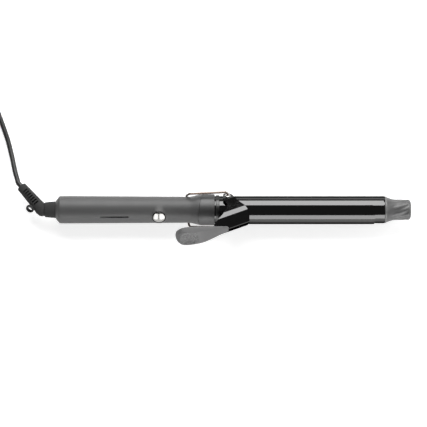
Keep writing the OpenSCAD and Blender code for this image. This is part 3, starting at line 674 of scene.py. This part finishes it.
def cord_route():
    """The cord's whole way in millimetres: out of the strain relief, round the coil and into the plug."""
    route = curve_through([
        RELIEF_END - RELIEF_WAY * 1.5, RELIEF_END + RELIEF_WAY * (0.7 + CORD),
        (-217.5, 32.5, 9), (-219.2, 38, 8), (-220.8, 44, 6.8), (-223, 54, 4.8), (-225.6, 64.5, 3.4),
        (-228.4, 75, 2.8), (-232, 85.5, 2.8), (-236.6, 98, 2.8), (-241, 110, 3.1), (-245, 122, 3.6),
        (-247.4, 134, COIL_Z), (COIL_SIDE, COIL_Y - 2 * CORD, COIL_Z), (COIL_SIDE, COIL_Y - CORD, COIL_Z)], 4)

    def ease(value):
        """A soft climb from one layer to the next."""
        return (1 - math.cos(math.pi * max(0.0, min(1.0, value)))) / 2

    steps = 36
    for i in range(int(COIL_LAYERS * COIL_TURNS * steps) + 1):
        turns = i / steps
        fold = turns % (2 * COIL_TURNS)
        fold = fold if fold < COIL_TURNS else 2 * COIL_TURNS - fold
        radius = COIL_OUT - COIL_PITCH * fold
        climb = sum(ease((turns - COIL_TURNS * k + 0.25) * 2) for k in (1, 2, 3))
        angle = 2 * math.pi * turns
        route.append(Vector((COIL_X + radius * math.cos(angle), COIL_Y + radius * math.sin(angle),
                             COIL_Z + COIL_PITCH * climb)))
    return route + curve_through([(PLUG.x, y, z) for y, z in (
        (COIL_Y - CORD, COIL_TOP), (COIL_Y - 2 * CORD, COIL_TOP), (133, COIL_TOP - 1.4),
        (125, COIL_TOP - 5.5), (117, PLUG.z + 4.6), (110, PLUG.z + 1.2), (PLUG.y + CORD, PLUG.z),
        (PLUG.y - 1, PLUG.z))], 4)


def plug_ring(reach, half_wide, half_thick, corner):
    """Cross-section of the plug, square to its pins, at a reach from the end of its sleeve."""
    outline = [(half_wide, half_thick), (-half_wide, half_thick), (-half_wide, -half_thick),
               (half_wide, -half_thick)]
    return [(PLUG.x + a, PLUG.y - reach, PLUG.z + b) for a, b in rounded(outline, corner, 7)]


class IRON_OT_plug(bpy.types.Operator):
    """Moulded plug with its ribbed sleeve and sleeved pins, and the strap round the coil"""

    bl_idname = "iron.plug"
    bl_label = "Plug and strap"

    def execute(self, context):
        body = lofted("plug_grip", [plug_ring(*row) for row in (
            (19.6, 6.2, 5.2, 5), (20.0, 7.0, 6.0, 5), (21.0, 7.7, 6.5, 5), (24.0, 8.9, 6.75, 5),
            (27.5, 11.0, 6.83, 5), (30.5, 12.3, 6.85, 4.6), (34.0, 12.8, 6.85, 4.2), (44.0, 12.8, 6.85, 4.0),
            (52.4, 12.8, 6.85, 4.0), (53.4, 12.5, 6.5, 3.8), (53.9, 12.0, 6.0, 3.5), (54.0, 11.4, 5.4, 3.2))])
        for way in (-1, 1):
            hollow = Matrix.Translation((PLUG.x, PLUG.y - 39, PLUG.z + way * 10.6))
            boolean(body, ball(hollow @ Matrix.Diagonal((12, 9.5, 5.2, 1)), 64, 40))
            for k in range(4):
                rib = prism("rib", rounded([(-5.2, -0.5), (5.2, -0.5), (5.2, 0.5), (-5.2, 0.5)], 0.45, 4),
                            -0.4 if way == 1 else -1.3, 1.3 if way == 1 else 0.4, "z")
                boolean(body, move(rib, (PLUG.x, PLUG.y - 35.4 - 2.4 * k, PLUG.z + way * 5.35)), "UNION")
        sleeve = turned("sleeve", [(0, 0), (0, 3.2), (0.3, 3.5)] + [
            (0.6 + x, 3.5 + 0.075 * x - (0.75 if 3 < x < 17 and x % 2.8 < 1.2 else 0))
            for x in span(0, 19.6, 49)] + [(21, 5), (21, 0)], 64)
        boolean(body, move(turn(sleeve, -90, "Z"), PLUG), "UNION")
        set_down(body, "handle", moulded_black(), ("plug_body",), 38, FLOOR_PLACE)

        foot = PLUG + Vector((0, -54, 0))
        cover = turned("pin_cover", [(-1, 0), (-1, 1.97), (9.6, 1.97), (9.9, 1.85), (10, 1.6), (10, 0)], 40)
        metal = turned("pin_metal", [(9.9, 0), (9.9, 2)] + [
            (17.4 + 1.6 * math.sin(a), 0.6 + 1.4 * math.cos(a)) for a in quarter(7)] + [(19, 0)], 40)
        for part, slot, look in ((cover, "dark_plastic", moulded_black()), (metal, "chrome", plain_steel())):
            turn(part, -90, "Z")
            twin = move(copy_of(part, part.name + "_right"), foot + SIDEWAYS * PIN_SIDE)
            move(part, foot - SIDEWAYS * PIN_SIDE)
            for pin in (part, twin):
                set_down(pin, "handle", look, ("plug_pins",), 40, FLOOR_PLACE)

        inner = COIL_OUT - COIL_PITCH * COIL_TURNS - CORD / 2 - PLAY
        outer, top = COIL_OUT + CORD / 2 + PLAY, COIL_TOP + CORD / 2 + PLAY

        def loop(grow, corner):
            a, b, c, d = COIL_Y + inner - grow, COIL_Y + outer + grow, 1 - grow, top + grow
            return rounded([(a, c), (b, c), (b, d), (a, d)], corner, 6)

        strap = prism("coil_strap", loop(1, 3.2), -4, 4, "x")
        boolean(strap, prism("hole", loop(0, 2.2), -9, 9, "x"))
        soften(strap, 0.25, 2, 50)
        move(strap, (COIL_X, 0, 0))
        set_down(strap, "handle", webbing(), ("cord_tie",), 35, FLOOR_PLACE)
        return {"FINISHED"}


class IRON_OT_cord(bpy.types.Operator):
    """Cord from the strain relief through its coil to the plug"""

    bl_idname = "iron.cord"
    bl_label = "Cord"

    def execute(self, context):
        route = cord_route()
        cord = tube("power_cord", route, size("cord") / 2, 7)
        set_down(cord, None, rubber(), ("cord", "cord_coil", "cord_tail"), place=FLOOR_PLACE)
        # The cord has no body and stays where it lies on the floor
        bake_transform(cord)
        return {"FINISHED"}


# Handle, barrel and tip. Places along x, the window's size, the bezel's radius and the seam's slant
BUTTON_X, BEZEL, WINDOW_X, WINDOW_LONG, WINDOW_WIDE = -70.5, 7.05, -116.0, 31.0, 1.8
REAR, SEAM_X, SEAM_TILT, COLLAR_X = -176.8, -26.7, math.radians(12.5), -13.3
# How far the grip's slim front lies behind the hinge, and the length of the flare from there to the collar
GRIP_FRONT, FLARE = 40.5, 15
# Bores of the handle and of its rear end, and a radius between bore and skin
BORE, REAR_BORE, WITHIN = 11.7, 8.75, 12.9
# The boss round the button: height of its top, reach of its flat and of its cone, its slope, its foot's round
BOSS_TOP, BOSS_FLAT, BOSS_REACH, BOSS_SLOPE, BOSS_BLEND = 13.9, 7.2, 16, 1.75, 2.4
BARREL_TAIL, BARREL_FRONT = -22.0, 161.6


def ramp(value):
    """A soft step from 0 to 1."""
    value = max(0.0, min(1.0, value))
    return value * value * (3 - 2 * value)


def handle_radius(x):
    """The handle's skin: a slight cone towards the rear, and a flare into the collar."""
    grip, rear, collar = size("grip") / 2, size("rear") / 2, size("collar") / 2
    return (grip + (rear - grip) * max(0.0, min(1.0, (-x - GRIP_FRONT) / (-REAR - GRIP_FRONT)))
            + (collar - grip) * ramp((x + GRIP_FRONT) / FLARE))


def front_round(x, radius, width, steps):
    """Stations that round the edge of a front end."""
    return [(x - width * (1 - math.sin(a)), radius - width * (1 - math.cos(a))) for a in quarter(steps)]


def handle_stations():
    """The closed wall of handle and collar, out along its skin and back through its bore."""
    edge, bore = handle_radius(REAR), size("barrel") / 2 + 0.05
    skin = rounded([(REAR, REAR_BORE), (REAR, edge - 5), (REAR + 3.8, edge - 0.15), (REAR + 8, edge)],
                   [0, 1.2, 2.5, 0], 8)[1:-1]
    places = (span(-168, -138, 4) + span(-134, -98, 14) + span(-94, -86, 2) + span(-84, -57, 34)
              + span(-54, -43, 3) + span(-GRIP_FRONT, FLARE - GRIP_FRONT, 14) + [-22.0, -18.0, -15.0])
    skin += [(x, handle_radius(x)) for x in places]
    skin += front_round(COLLAR_X, size("collar") / 2, 0.6, 4)
    return skin + [(COLLAR_X, bore), (BARREL_TAIL, bore), (BARREL_TAIL, BORE), (REAR + 1.8, BORE),
                   (REAR + 1.8, REAR_BORE), (REAR, REAR_BORE), skin[0]]


def raise_boss(piece):
    """Lifts the skin round the button into a soft cone."""
    for corner in piece.data.vertices:
        x, y, z = corner.co
        out = math.hypot(x - BUTTON_X, y)
        if z < 0 or out > BOSS_REACH or math.hypot(y, z) < WITHIN:
            continue
        cone = BOSS_TOP - max(0.0, out - BOSS_FLAT) * BOSS_SLOPE
        near = max(BOSS_BLEND - abs(z - cone), 0) / BOSS_BLEND
        corner.co.z = min(max(z, cone) + near * near * BOSS_BLEND / 4, max(z, BOSS_TOP))


def cut_through(piece, point, normal, ahead):
    """Cuts a closed wall along a plane, keeps what lies ahead of it or behind it, and closes the wall."""
    edit(piece, "EDGE")
    select_all()
    bpy.ops.mesh.bisect(plane_co=point, plane_no=normal, clear_inner=ahead, clear_outer=not ahead,
                        threshold=0.0001)
    bpy.ops.mesh.select_all(action="DESELECT")
    bpy.ops.mesh.select_non_manifold()
    bpy.ops.mesh.bridge_edge_loops()
    return outward(piece)


def capsule(width, length):
    """Outline of a slot with round ends, in the window's place."""
    half, r = (length - width) / 2, width / 2
    ends = [(half + r * math.cos(a), r * math.sin(a)) for a in span(-math.pi / 2, math.pi / 2, 12)]
    return [(WINDOW_X + x, y) for x, y in ends] + [(WINDOW_X - x, -y) for x, y in ends]


class IRON_OT_handle(bpy.types.Operator):
    """Handle sleeve with the button's boss, and the collar behind its slanted seam"""

    bl_idname = "iron.handle"
    bl_label = "Handle and collar"

    def execute(self, context):
        whole = turned("handle_shell", handle_stations(), FINE)
        raise_boss(whole)
        way = Vector((math.cos(SEAM_TILT), 0, math.sin(SEAM_TILT)))
        middle, half = Vector((SEAM_X, 0, 0)), size("seam") / 2
        collar = cut_through(copy_of(whole, "collar_shell"), middle + way * half, way, True)
        sleeve = cut_through(whole, middle - way * half, way, False)
        bore = upright("bore", rod(4, 20, BEZEL + 0.05))
        boolean(sleeve, move(bore, (BUTTON_X, 0, 0)))
        boolean(sleeve, prism("slot", capsule(WINDOW_WIDE + 0.1, WINDOW_LONG + 0.1), 6, 18, "z"))
        for shell, node, look in ((sleeve, "handle_sleeve", lacquer),
                                  (collar, "front_collar", collar_lacquer)):
            set_down(shell, "handle", look(), (node,), 40)
        return {"FINISHED"}


class IRON_OT_controls(bpy.types.Operator):
    """Power button with its bezel, and the indicator's window"""

    bl_idname = "iron.controls"
    bl_label = "Button and window"

    def execute(self, context):
        r, rim, dome, edge = size("button") / 2, 14.0, 0.95, 0.35
        bend = (r * r + dome * dome) / (2 * dome)
        cap = [(rim + dome - bend + math.sqrt(bend * bend - y * y), y) for y in span(r - edge, 0, 14)]
        skirt = [(rim - edge * math.cos(a), r - edge * (1 - math.cos(a)) * 0.5) for a in quarter(4)]
        button = upright("button_cap", [(8.7, 0), (8.7, 1.8), (8.9, 2), (10.5, 2), (10.5, 6.9), (11.2, 6.9),
                                        (11.2, r)] + skirt[:-1] + cap, 96)
        move(button, (BUTTON_X, 0, 0))
        set_down(button, "button", satin_chrome(), ("power_button",), 35)

        inner, outer, foot, top = r + 0.05, BEZEL, 11.3, BOSS_TOP
        bezel = upright("button_ring", [(foot, inner), (foot, outer), (top - 0.2, outer), (top, outer - 0.2),
                                        (top, inner + 0.2), (top - 0.25, inner), (foot, inner)], 96)
        move(bezel, (BUTTON_X, 0, 0))
        set_down(bezel, "handle", smoke(), ("button_bezel",), 35)

        lens = prism("window_pane", capsule(WINDOW_WIDE, WINDOW_LONG), 11.15, 18, "z")
        skin = turned("skin", [(-140, 0)] + [(x, handle_radius(x) - 0.12) for x in span(-140, -95, 18)]
                      + [(-95, 0)], FINE)
        boolean(lens, skin, "INTERSECT")
        soften(lens, 0.12, 2)
        set_down(lens, "handle", smoke(), ("indicator_lens",), 35)
        return {"FINISHED"}


class IRON_OT_barrel(bpy.types.Operator):
    """Heated barrel with the ring behind it"""

    bl_idname = "iron.barrel"
    bl_label = "Barrel and ring"

    def execute(self, context):
        r, wall = size("barrel") / 2, 1.2
        bore = r - wall
        skin = [(x, r) for x in (BARREL_TAIL, *span(-20, 160, 9))] + front_round(BARREL_FRONT, r, 0.45, 5)
        barrel = turned("barrel", [(BARREL_TAIL, bore)] + skin + [(BARREL_FRONT, bore), (BARREL_TAIL, bore)],
                        FINE)
        for side in (-1, 1):
            boolean(barrel, crosswise("hole", rod(5, 20, 2), side, 32))
        set_down(barrel, "handle", titanium(), ("barrel_tube",), 40)

        back, front, out, bore = -12.3, -8.4, 14.9, r + 0.05
        ring = turned("base_ring", [
            (back, bore), (back, out - 0.4), (back + 0.12, out - 0.15), (back + 0.4, out), (front - 0.5, out),
            (front - 0.15, out - 0.12), (front, out - 0.45), (front, bore), (back, bore)], FINE)
        set_down(ring, "handle", ring_plate(), ("collar_ring",), 35)
        return {"FINISHED"}


# The tip's hollow neck: its share of the length and how it curves. Its flutes: count, depth, twist per mm
NECK_SHARE, NECK_POWER = 0.47, 2.1
FLUTES, FLUTE_DEPTH, FLUTE_TWIST = 10, 0.5, 0.046


class IRON_OT_tip(bpy.types.Operator):
    """Cool tip with shallow spiral flutes, and the pale ring before it"""

    bl_idname = "iron.tip"
    bl_label = "Cool tip"

    def execute(self, context):
        r, base = size("barrel") / 2, 152.6
        slim, nose, start, length = size("tip") / 2, 3.2, BARREL_FRONT + 1.8, 25.4
        ring = turned("tip_ring", [(base, 1.6), (base, r - 1.25), (BARREL_FRONT, r - 1.25)] + [
            (BARREL_FRONT + ahead, r - down) for ahead, down in (
                (0, 0.6), (0.2, 0.35), (0.5, 0.3), (1.4, 0.3), (1.65, 0.4), (1.8, 0.65))]
            + [(start, 1.6), (base, 1.6)], FINE)
        set_down(ring, "handle", insulator(), ("tip_insulator",), 35)

        def skin(x):
            t = (x - start) / length
            return slim + (r - 0.8 - slim) * max(0.0, 1 - t / NECK_SHARE) ** NECK_POWER

        screw, deep = 1.5, 9
        stations = [(start + deep, 0), (start + deep, screw), (start, screw)]
        stations += [(x, skin(x)) for x in span(start, start + length - nose, 30)]
        stations += [(start + length - nose + nose * math.sin(a), slim - nose * 1.4 * (1 - math.cos(a)))
                     for a in span(math.pi / 20, math.pi / 2.3, 9)]
        stations += [(start + length + 0.15, slim * 0.35), (start + length + 0.3, 0)]
        tip = turned("cool_tip_cap", stations, 192)
        for corner in tip.data.vertices:
            x, y, z = corner.co
            out = math.hypot(y, z)
            if out < slim * 0.6 or x < start + 1:
                continue
            depth = FLUTE_DEPTH * ramp((x - start - 3) / 8) * ramp((start + length - 0.8 - x) / 3)
            wave = math.cos(FLUTES * (math.atan2(z, y) + (x - start) * FLUTE_TWIST))
            cut = 1 - depth * (0.5 - 0.5 * wave) ** 1.5 / out
            corner.co.y, corner.co.z = y * cut, z * cut
        set_down(tip, "handle", resin(), ("cool_tip",), 40)
        return {"FINISHED"}


# Clamp. The bracket: its ears' outside, its wall, its spine's slope in degrees and height over the hinge
EAR_OUT, WALL = 17.2, 1.5
SPINE_TILT, SPINE_Z = 31.8, 34.4
# The plate: its radii, half of how far it wraps round, and how far it ends before the barrel
PLATE_IN, PLATE_OUT, PLATE_WRAP, PLATE_SHORT = 14.15, 14.95, math.radians(53), 10.3


def hood_section(wall, crease):
    """Cross-section of the bracket, from one ear over the spine to the other."""
    ear = EAR_OUT - wall
    half = [(9.9 - wall, -6.8 - wall / 2), (12.7 - wall, -10.8), (14.9 - wall, -18), (ear, -24.4), (ear, -60)]
    radii = [crease, crease, crease * 3, crease * 2, 0]
    outline = [(0, 1.2 - wall * 1.25)] + half + [(-a, b) for a, b in reversed(half)]
    return rounded(outline, [crease * 2.5] + radii + radii[::-1], 8)


def hood_form(name, wall, crease, side):
    """The section drawn out along the bracket's spine and trimmed to an outline seen from the side."""
    beam = prism(name, hood_section(wall, crease), -80, 80, "x")
    move(turn(beam, SPINE_TILT, "Y"), (0, 0, SPINE_Z))
    return boolean(beam, prism("side", side, -30, 30), "INTERSECT")


# Outlines seen from the side: the bracket and the round of each of its corners, its hollow, its tongue
HOOD_SIDE = [(-4.7, -2.6), (-3, -4.4), (2.8, -4.4), (5.6, -0.8), (8.4, 3), (10.6, 5.4), (14.2, 8),
             (17.6, 10.4), (20.3, 13.2), (21.8, 17), (22.6, 21.7), (22.8, 30), (-3.3, 60), (-3.3, 35.4),
             (-12.5, 39.6), (-14.4, 40.2), (-13.8, 37.6), (-4.8, 25.6), (-0.9, 17.5), (-0.7, 12.1),
             (-4.7, 6.8)]
HOOD_ROUND = [2.2, 2.2, 2.5, 4, 5, 4, 5, 5, 6, 8, 3, 1, 0, 2, 1, 0.4, 1, 8, 5, 3, 3]
CAVITY_SIDE = [(-40, -20), (19.8, -20), (19.8, 60), (0, 60), (0, 32.4), (-3.3, 33.6), (-12.5, 37.8),
               (-40, 52)]
TONGUE_SIDE = [(-10, 36.6), (-13, 38), (-30, 44.4), (-30, 46), (-12.6, 39.5), (-10, 38.4)]
# The slope of the tongue's top in degrees, where it starts, and the places of its two screws
TONGUE_TILT, TONGUE_X, TONGUE_Z, SCREWS_X = 20.5, -12.6, 39.5, (-17, -25)


def lever_screw(x, stations, sides=24):
    """A round form at one of the lever's screws, square to the tongue."""
    form = turn(upright("screw", stations, sides), TONGUE_TILT, "Y")
    return move(form, (x, 0, TONGUE_Z - (x - TONGUE_X) * math.tan(math.radians(TONGUE_TILT))))


class IRON_OT_clamp(bpy.types.Operator):
    """Pressed bracket over the barrel, and the clamp plate along it"""

    bl_idname = "iron.clamp"
    bl_label = "Bracket and clamp plate"

    def execute(self, context):
        hood = hood_form("bracket", 0, 1.2, rounded(HOOD_SIDE, HOOD_ROUND))
        boolean(hood, hood_form("cavity", WALL, 0.8, CAVITY_SIDE))
        boolean(hood, turned("clearance", rod(-40, 60, PLATE_OUT), FINE))
        for side in (-1, 1):
            boolean(hood, crosswise("bore", rod(5, 30, 2.05), side))
        boolean(hood, prism("tongue", TONGUE_SIDE, -3.5, 3.5), "UNION")
        for x in SCREWS_X:
            boolean(hood, lever_screw(x, rod(-10, 10, 1.05)))
        soften(smooth(hood, 34), 0.85, 4, 34, firm=True)
        set_down(hood, "clamp", pressed_black(), ("clamp_bracket",))

        half, low = PLATE_OUT * math.sin(PLATE_WRAP), PLATE_OUT * math.cos(PLATE_WRAP)
        front = BARREL_FRONT - PLATE_SHORT
        plate = turned("plate", [(8, PLATE_IN), (8, PLATE_OUT)] + [(x, PLATE_OUT) for x in span(20, 150, 13)]
                       + [(front, PLATE_OUT), (front, PLATE_IN), (8, PLATE_IN)], 180)
        outline = rounded([(8, -half), (front, -half), (front, half), (8, half)], [0.5, 5, 5, 0.5], 10)
        boolean(plate, prism("outline", outline, low, 30, "z"), "INTERSECT")
        soften(plate, 0.22, 3, 45)
        set_down(plate, "clamp", titanium(), ("clamp_plate",), 32)
        return {"FINISHED"}


# Place along the barrel, height of the face, half its width, width of its bevels, depth of the keel
LEVER_LINE = [(0.9, 36.3, 1.4, 0.3, 0), (-0.4, 36.7, 2.4, 0.6, 0), (-4.5, 38.4, 3.3, 0.8, 1),
              (-8.8, 40.3, 4.2, 1, 2.8), (-17.2, 44.8, 5.9, 1.7, 2.8), (-25.6, 48.9, 7, 2.6, 2.8),
              (-36.6, 52.1, 7.1, 3.7, 0.6), (-43.4, 52.7, 7.2, 3.4, 0), (-47.5, 52.3, 6.5, 2.9, 0),
              (-50.8, 50.6, 4.4, 2.2, 0), (-52.6, 48.2, 2.2, 1.2, 0), (-53.1, 46.7, 0.5, 0.3, 0)]


def lever_ring(x, z, half, bevel, keel):
    """Cross-section of the lever: flat face, long bevels, thin edge and a keel under its middle."""
    low = z - bevel * 1.1
    foot = low - 1.6
    keel = foot + 0.6 - keel
    outline = [(half, z), (-half, z), (-half - bevel, low), (-half - bevel, foot), (-half * 0.5, keel),
               (half * 0.5, keel), (half + bevel, foot), (half + bevel, low)]
    return [(x, y, h) for y, h in rounded(outline, [0.7, 0.7, 0.5, 0.5, 0.4, 0.4, 0.5, 0.5], 4)]


class IRON_OT_lever(bpy.types.Operator):
    """Thumb lever, bevelled and dished, on its two screws"""

    bl_idname = "iron.lever"
    bl_label = "Thumb lever"

    def execute(self, context):
        lever = lofted("lever", [lever_ring(*row) for row in curve_through(LEVER_LINE, 4)])
        place = (Matrix.Translation((-39.6, -0.4, 56.4)) @ Matrix.Rotation(math.radians(9.3), 4, "Y")
                 @ Matrix.Diagonal((17, 10.6, 6, 1)))
        boolean(lever, ball(place, 128, 96))
        boolean(lever, hood_form("block", 0, 1.2, HOOD_SIDE))
        boolean(lever, prism("slot", TONGUE_SIDE, -3.55, 3.55))
        for x in SCREWS_X:
            boolean(lever, lever_screw(x, [(-14, 0), (-14, 2), (0, 2), (0, 1), (2.2, 1), (2.2, 0)]))
        inward = place.inverted()
        # Faces on the dish's ball are those that the stipple covers
        dished = [abs((inward @ face.center).length - 1) < 0.003 for face in lever.data.polygons]
        set_down(lever, "clamp", lever_lacquer(), ("thumb_lever",), 30)
        lever.data.materials.append(thumb_stipple())
        for face, inside in zip(lever.data.polygons, dished):
            face.material_index = 1 if inside else 0
        return {"FINISHED"}


# Hinge, spring and stand
class IRON_OT_hinge(bpy.types.Operator):
    """Two eyelets that hold the clamp and take the stand's wire"""

    bl_idname = "iron.hinge"
    bl_label = "Eyelets"

    def execute(self, context):
        bore, shank, head = size("wire") / 2 + 0.05, 1.98, 3.05
        flange = EAR_OUT + 0.1
        rim = [(flange + 0.9 * math.sin(a), bore + 0.35 + (head - bore - 0.35) * math.cos(a))
               for a in span(0.12, math.pi / 2, 8)]
        for side, name in ((-1, "eyelet_near"), (1, "eyelet_far")):
            eyelet = crosswise(name, [
                (12.2, bore), (12.2, shank), (flange, shank), (flange, head - 0.1), *rim,
                (flange + 0.8, bore + 0.12), (flange + 0.55, bore), (12.2, bore)], side, 64)
            set_down(eyelet, "handle", chrome(), ("pivot_eyelets",), 35)
        return {"FINISHED"}


class IRON_OT_spring(bpy.types.Operator):
    """Leaf spring from the barrel up to the lever's foot"""

    bl_idname = "iron.spring"
    bl_label = "Leaf spring"

    def execute(self, context):
        line = curve_through([(6.5, 14.35), (-1, 14.35), (-3.4, 15.4), (-8, 30.2), (-8.8, 34.2), (-9.6, 35.3),
                              (-10.6, 35)], 5)
        over, under, half_thick, half_wide = [], [], 0.3, 3
        for before, here, after in zip([line[0]] + line, line, line[1:] + [line[-1]]):
            across = Vector((before.y - after.y, after.x - before.x)).normalized() * half_thick
            over.append(tuple(here + across))
            under.append(tuple(here - across))
        spring = prism("leaf", over + under[::-1], -half_wide, half_wide)
        set_down(spring, None, plain_steel(), ("leaf_spring",), 40)
        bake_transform(spring)
        return {"FINISHED"}


class IRON_OT_stand(bpy.types.Operator):
    """Wire stand, bent from one length of wire, that hugs the handle when it is folded"""

    bl_idname = "iron.stand"
    bl_label = "Stand"

    def execute(self, context):
        r = size("wire") / 2
        arch = size("grip") / 2 + 0.25 + r
        bend_x = -42.3
        side = [Vector((0, 12.2, 0)), Vector((0, 21.7, 0)), Vector((-39.5, 20.4, 1.3)),
                Vector((bend_x, arch * math.sin(math.pi / 4), -arch * math.sin(math.pi / 4)))]
        leg = fillet_route(side, 3.2, 7)[:-1]
        round_the_handle = [(bend_x, arch * math.sin(a), -arch * math.cos(a))
                            for a in span(math.pi / 4, -math.pi / 4, 24)]
        other = [(p.x, -p.y, p.z) for p in reversed(leg)]
        wire = tube("stand", leg + round_the_handle + other, r, 5)
        set_down(wire, "stand", wire_steel(), ("stand_wire",), 50)
        return {"FINISHED"}


# Swivel and inner pieces
def along(direction, origin):
    """Matrix that lays x along a direction from an origin, with z as near to straight up as it can."""
    x = direction.normalized()
    y = Vector((0, 0, 1)).cross(x).normalized()
    return Matrix.Translation(origin) @ Matrix((x, y, x.cross(y))).transposed().to_4x4()


def ball_stations(radius, first, last, steps):
    """Stations on a ball about the origin, from its closed end on."""
    return [(-radius, 0)] + [(-radius * math.cos(a), radius * math.sin(a)) for a in span(first, last, steps)]


# The relief's round root; its slots on each side, their distance, the first one's from the end, half a slot's
# width and how near it comes to the middle
ROOT = 6.8
SLOTS, SLOT_PITCH, SLOT_FIRST, SLOT_HALF, SLOT_FLOOR = 7, 3, 7.5, 0.8, 2.9


class IRON_OT_swivel(bpy.types.Operator):
    """Neck that turns in the handle, and the ribbed strain relief with its hanging loop"""

    bl_idname = "iron.swivel"
    bl_label = "Swivel and strain relief"

    def execute(self, context):
        foot, head, wide, mouth, hole = REAR + 2.0, REAR + 14.0, 8.55, -188.4, size("cord") / 2
        neck = turned("neck", [(mouth, hole), (mouth, 6.8), (-188.0, 7.4), (-187.0, 7.8), (REAR - 0.6, wide),
                               (foot - 0.1, wide), (foot - 0.1, 7.4), (head + 0.1, 7.4), (head + 0.1, 9.2),
                               (head + 1.9, 9.2), (head + 1.9, 5), (head + 8.1, 5), (head + 8.1, hole),
                               (mouth, hole)])
        # The seat for the relief's round root is a little wider than the root
        r = ROOT + 0.02
        seat = upright("seat", ball_stations(r, math.pi / 16, math.pi * 15 / 16, 14) + [(r, 0)])
        boolean(neck, move(seat, (ELBOW.x, 0, 0)))
        set_down(neck, "swivel", soft_rubber(), ("swivel_neck",), 35)

        length, thick, thin = 33.6, 6.5, 5.0
        relief = turned("relief", ball_stations(ROOT, math.pi / 24, math.pi * 0.36, 9)
                        + [(1.5, thick + 0.35), (4.0, thick - 0.1)]
                        + [(x, thick + (thin - thick) * x / length) for x in span(6, length - 0.6, 12)]
                        + [(length - 0.2, thin - 0.15), (length, thin - 0.5), (length, 0)])
        for k in range(SLOTS):
            for way in (-1, 1):
                x = length - SLOT_FIRST - SLOT_PITCH * k
                left, right, past = x - SLOT_HALF, x + SLOT_HALF, 9
                outline = [(left, SLOT_FLOOR), (right, SLOT_FLOOR), (right, past), (left, past)]
                slot = prism("slot", rounded(outline, [0.3, 0.3, 0, 0], 3), -2.8, 2.8)
                boolean(relief, slot if way == 1 else turn(slot, 180, "X"))
        relief.data.transform(along(RELIEF_WAY, ELBOW))
        deselect()
        bpy.ops.mesh.primitive_torus_add(major_segments=64, minor_segments=20, major_radius=3.35,
                                         minor_radius=1.0)
        loop = context.object
        loop.data.transform(Matrix.Diagonal((1, 1, 2, 1)))
        turn(loop, 52, "X")
        turn(loop, -28, "Z")
        move(loop, (-203.4, 1.2, 16.05))
        boolean(relief, loop, "UNION")
        soften(relief, 0.15, 2, 50)
        set_down(relief, "swivel", soft_rubber(), ("strain_relief",), 35, FLOOR_PLACE)
        return {"FINISHED"}


class IRON_OT_inside(bpy.types.Operator):
    """Finishes for the pieces inside, which keep their own shapes"""

    bl_idname = "iron.inside"
    bl_label = "Inner pieces"

    def execute(self, context):
        looks = {
            plain_steel: ("tip_screw", "lever_screws", "thermal_fuse", "tact_switch"),
            pressed_black: ("hinge_posts",),
            moulded_black: ("swivel_bush",),
            carrier_plastic: ("board_carrier",),
            solder_mask: ("circuit_board",),
            component_case: ("board_parts",),
            clear_lamp: ("indicator_led",),
            fired_clay: ("insulator_bush",),
            drawn_aluminium: ("heater_shoe_upper", "heater_shoe_lower"),
            heater_foil: ("ptc_heater",),
            glass_sleeve: ("heater_leads",),
            contact_brass: ("contact_rings", "contact_brushes", "thermistor"),
        }
        named = {name: look for look, names in looks.items() for name in names}
        for name, node in frame["nodes"].items():
            node.data.materials.clear()
            node.data.materials.append(named.get(name, plain_steel)())
        return {"FINISHED"}


class IRON_PT_panel(bpy.types.Panel):
    """Sizes and colours of the iron, and a button for each of its pieces"""

    bl_idname = "IRON_PT_panel"
    bl_label = "Curling iron"
    bl_space_type = "VIEW_3D"
    bl_region_type = "UI"
    bl_category = "Iron"

    def draw(self, context):
        for group in (sizes(), colours()):
            for name in group.__annotations__:
                self.layout.prop(group, name)
        for piece in PIECES:
            self.layout.operator(piece.bl_idname)


PIECES = (IRON_OT_studio, IRON_OT_plug, IRON_OT_cord, IRON_OT_handle, IRON_OT_controls, IRON_OT_barrel,
          IRON_OT_tip, IRON_OT_clamp, IRON_OT_lever, IRON_OT_hinge, IRON_OT_spring, IRON_OT_stand,
          IRON_OT_swivel, IRON_OT_inside)
CLASSES = (IRON_PG_sizes, IRON_PG_colours, *PIECES, IRON_PT_panel)


def register():
    for made in CLASSES:
        bpy.utils.register_class(made)
    bpy.types.Scene.iron_sizes = bpy.props.PointerProperty(type=IRON_PG_sizes)
    bpy.types.Scene.iron_colours = bpy.props.PointerProperty(type=IRON_PG_colours)


def unregister():
    del bpy.types.Scene.iron_colours
    del bpy.types.Scene.iron_sizes
    for made in reversed(CLASSES):
        bpy.utils.unregister_class(made)


def main():
    register()
    for piece in PIECES:
        group, name = piece.bl_idname.split(".")
        getattr(getattr(bpy.ops, group), name)()


if __name__ == "__main__":
    main()
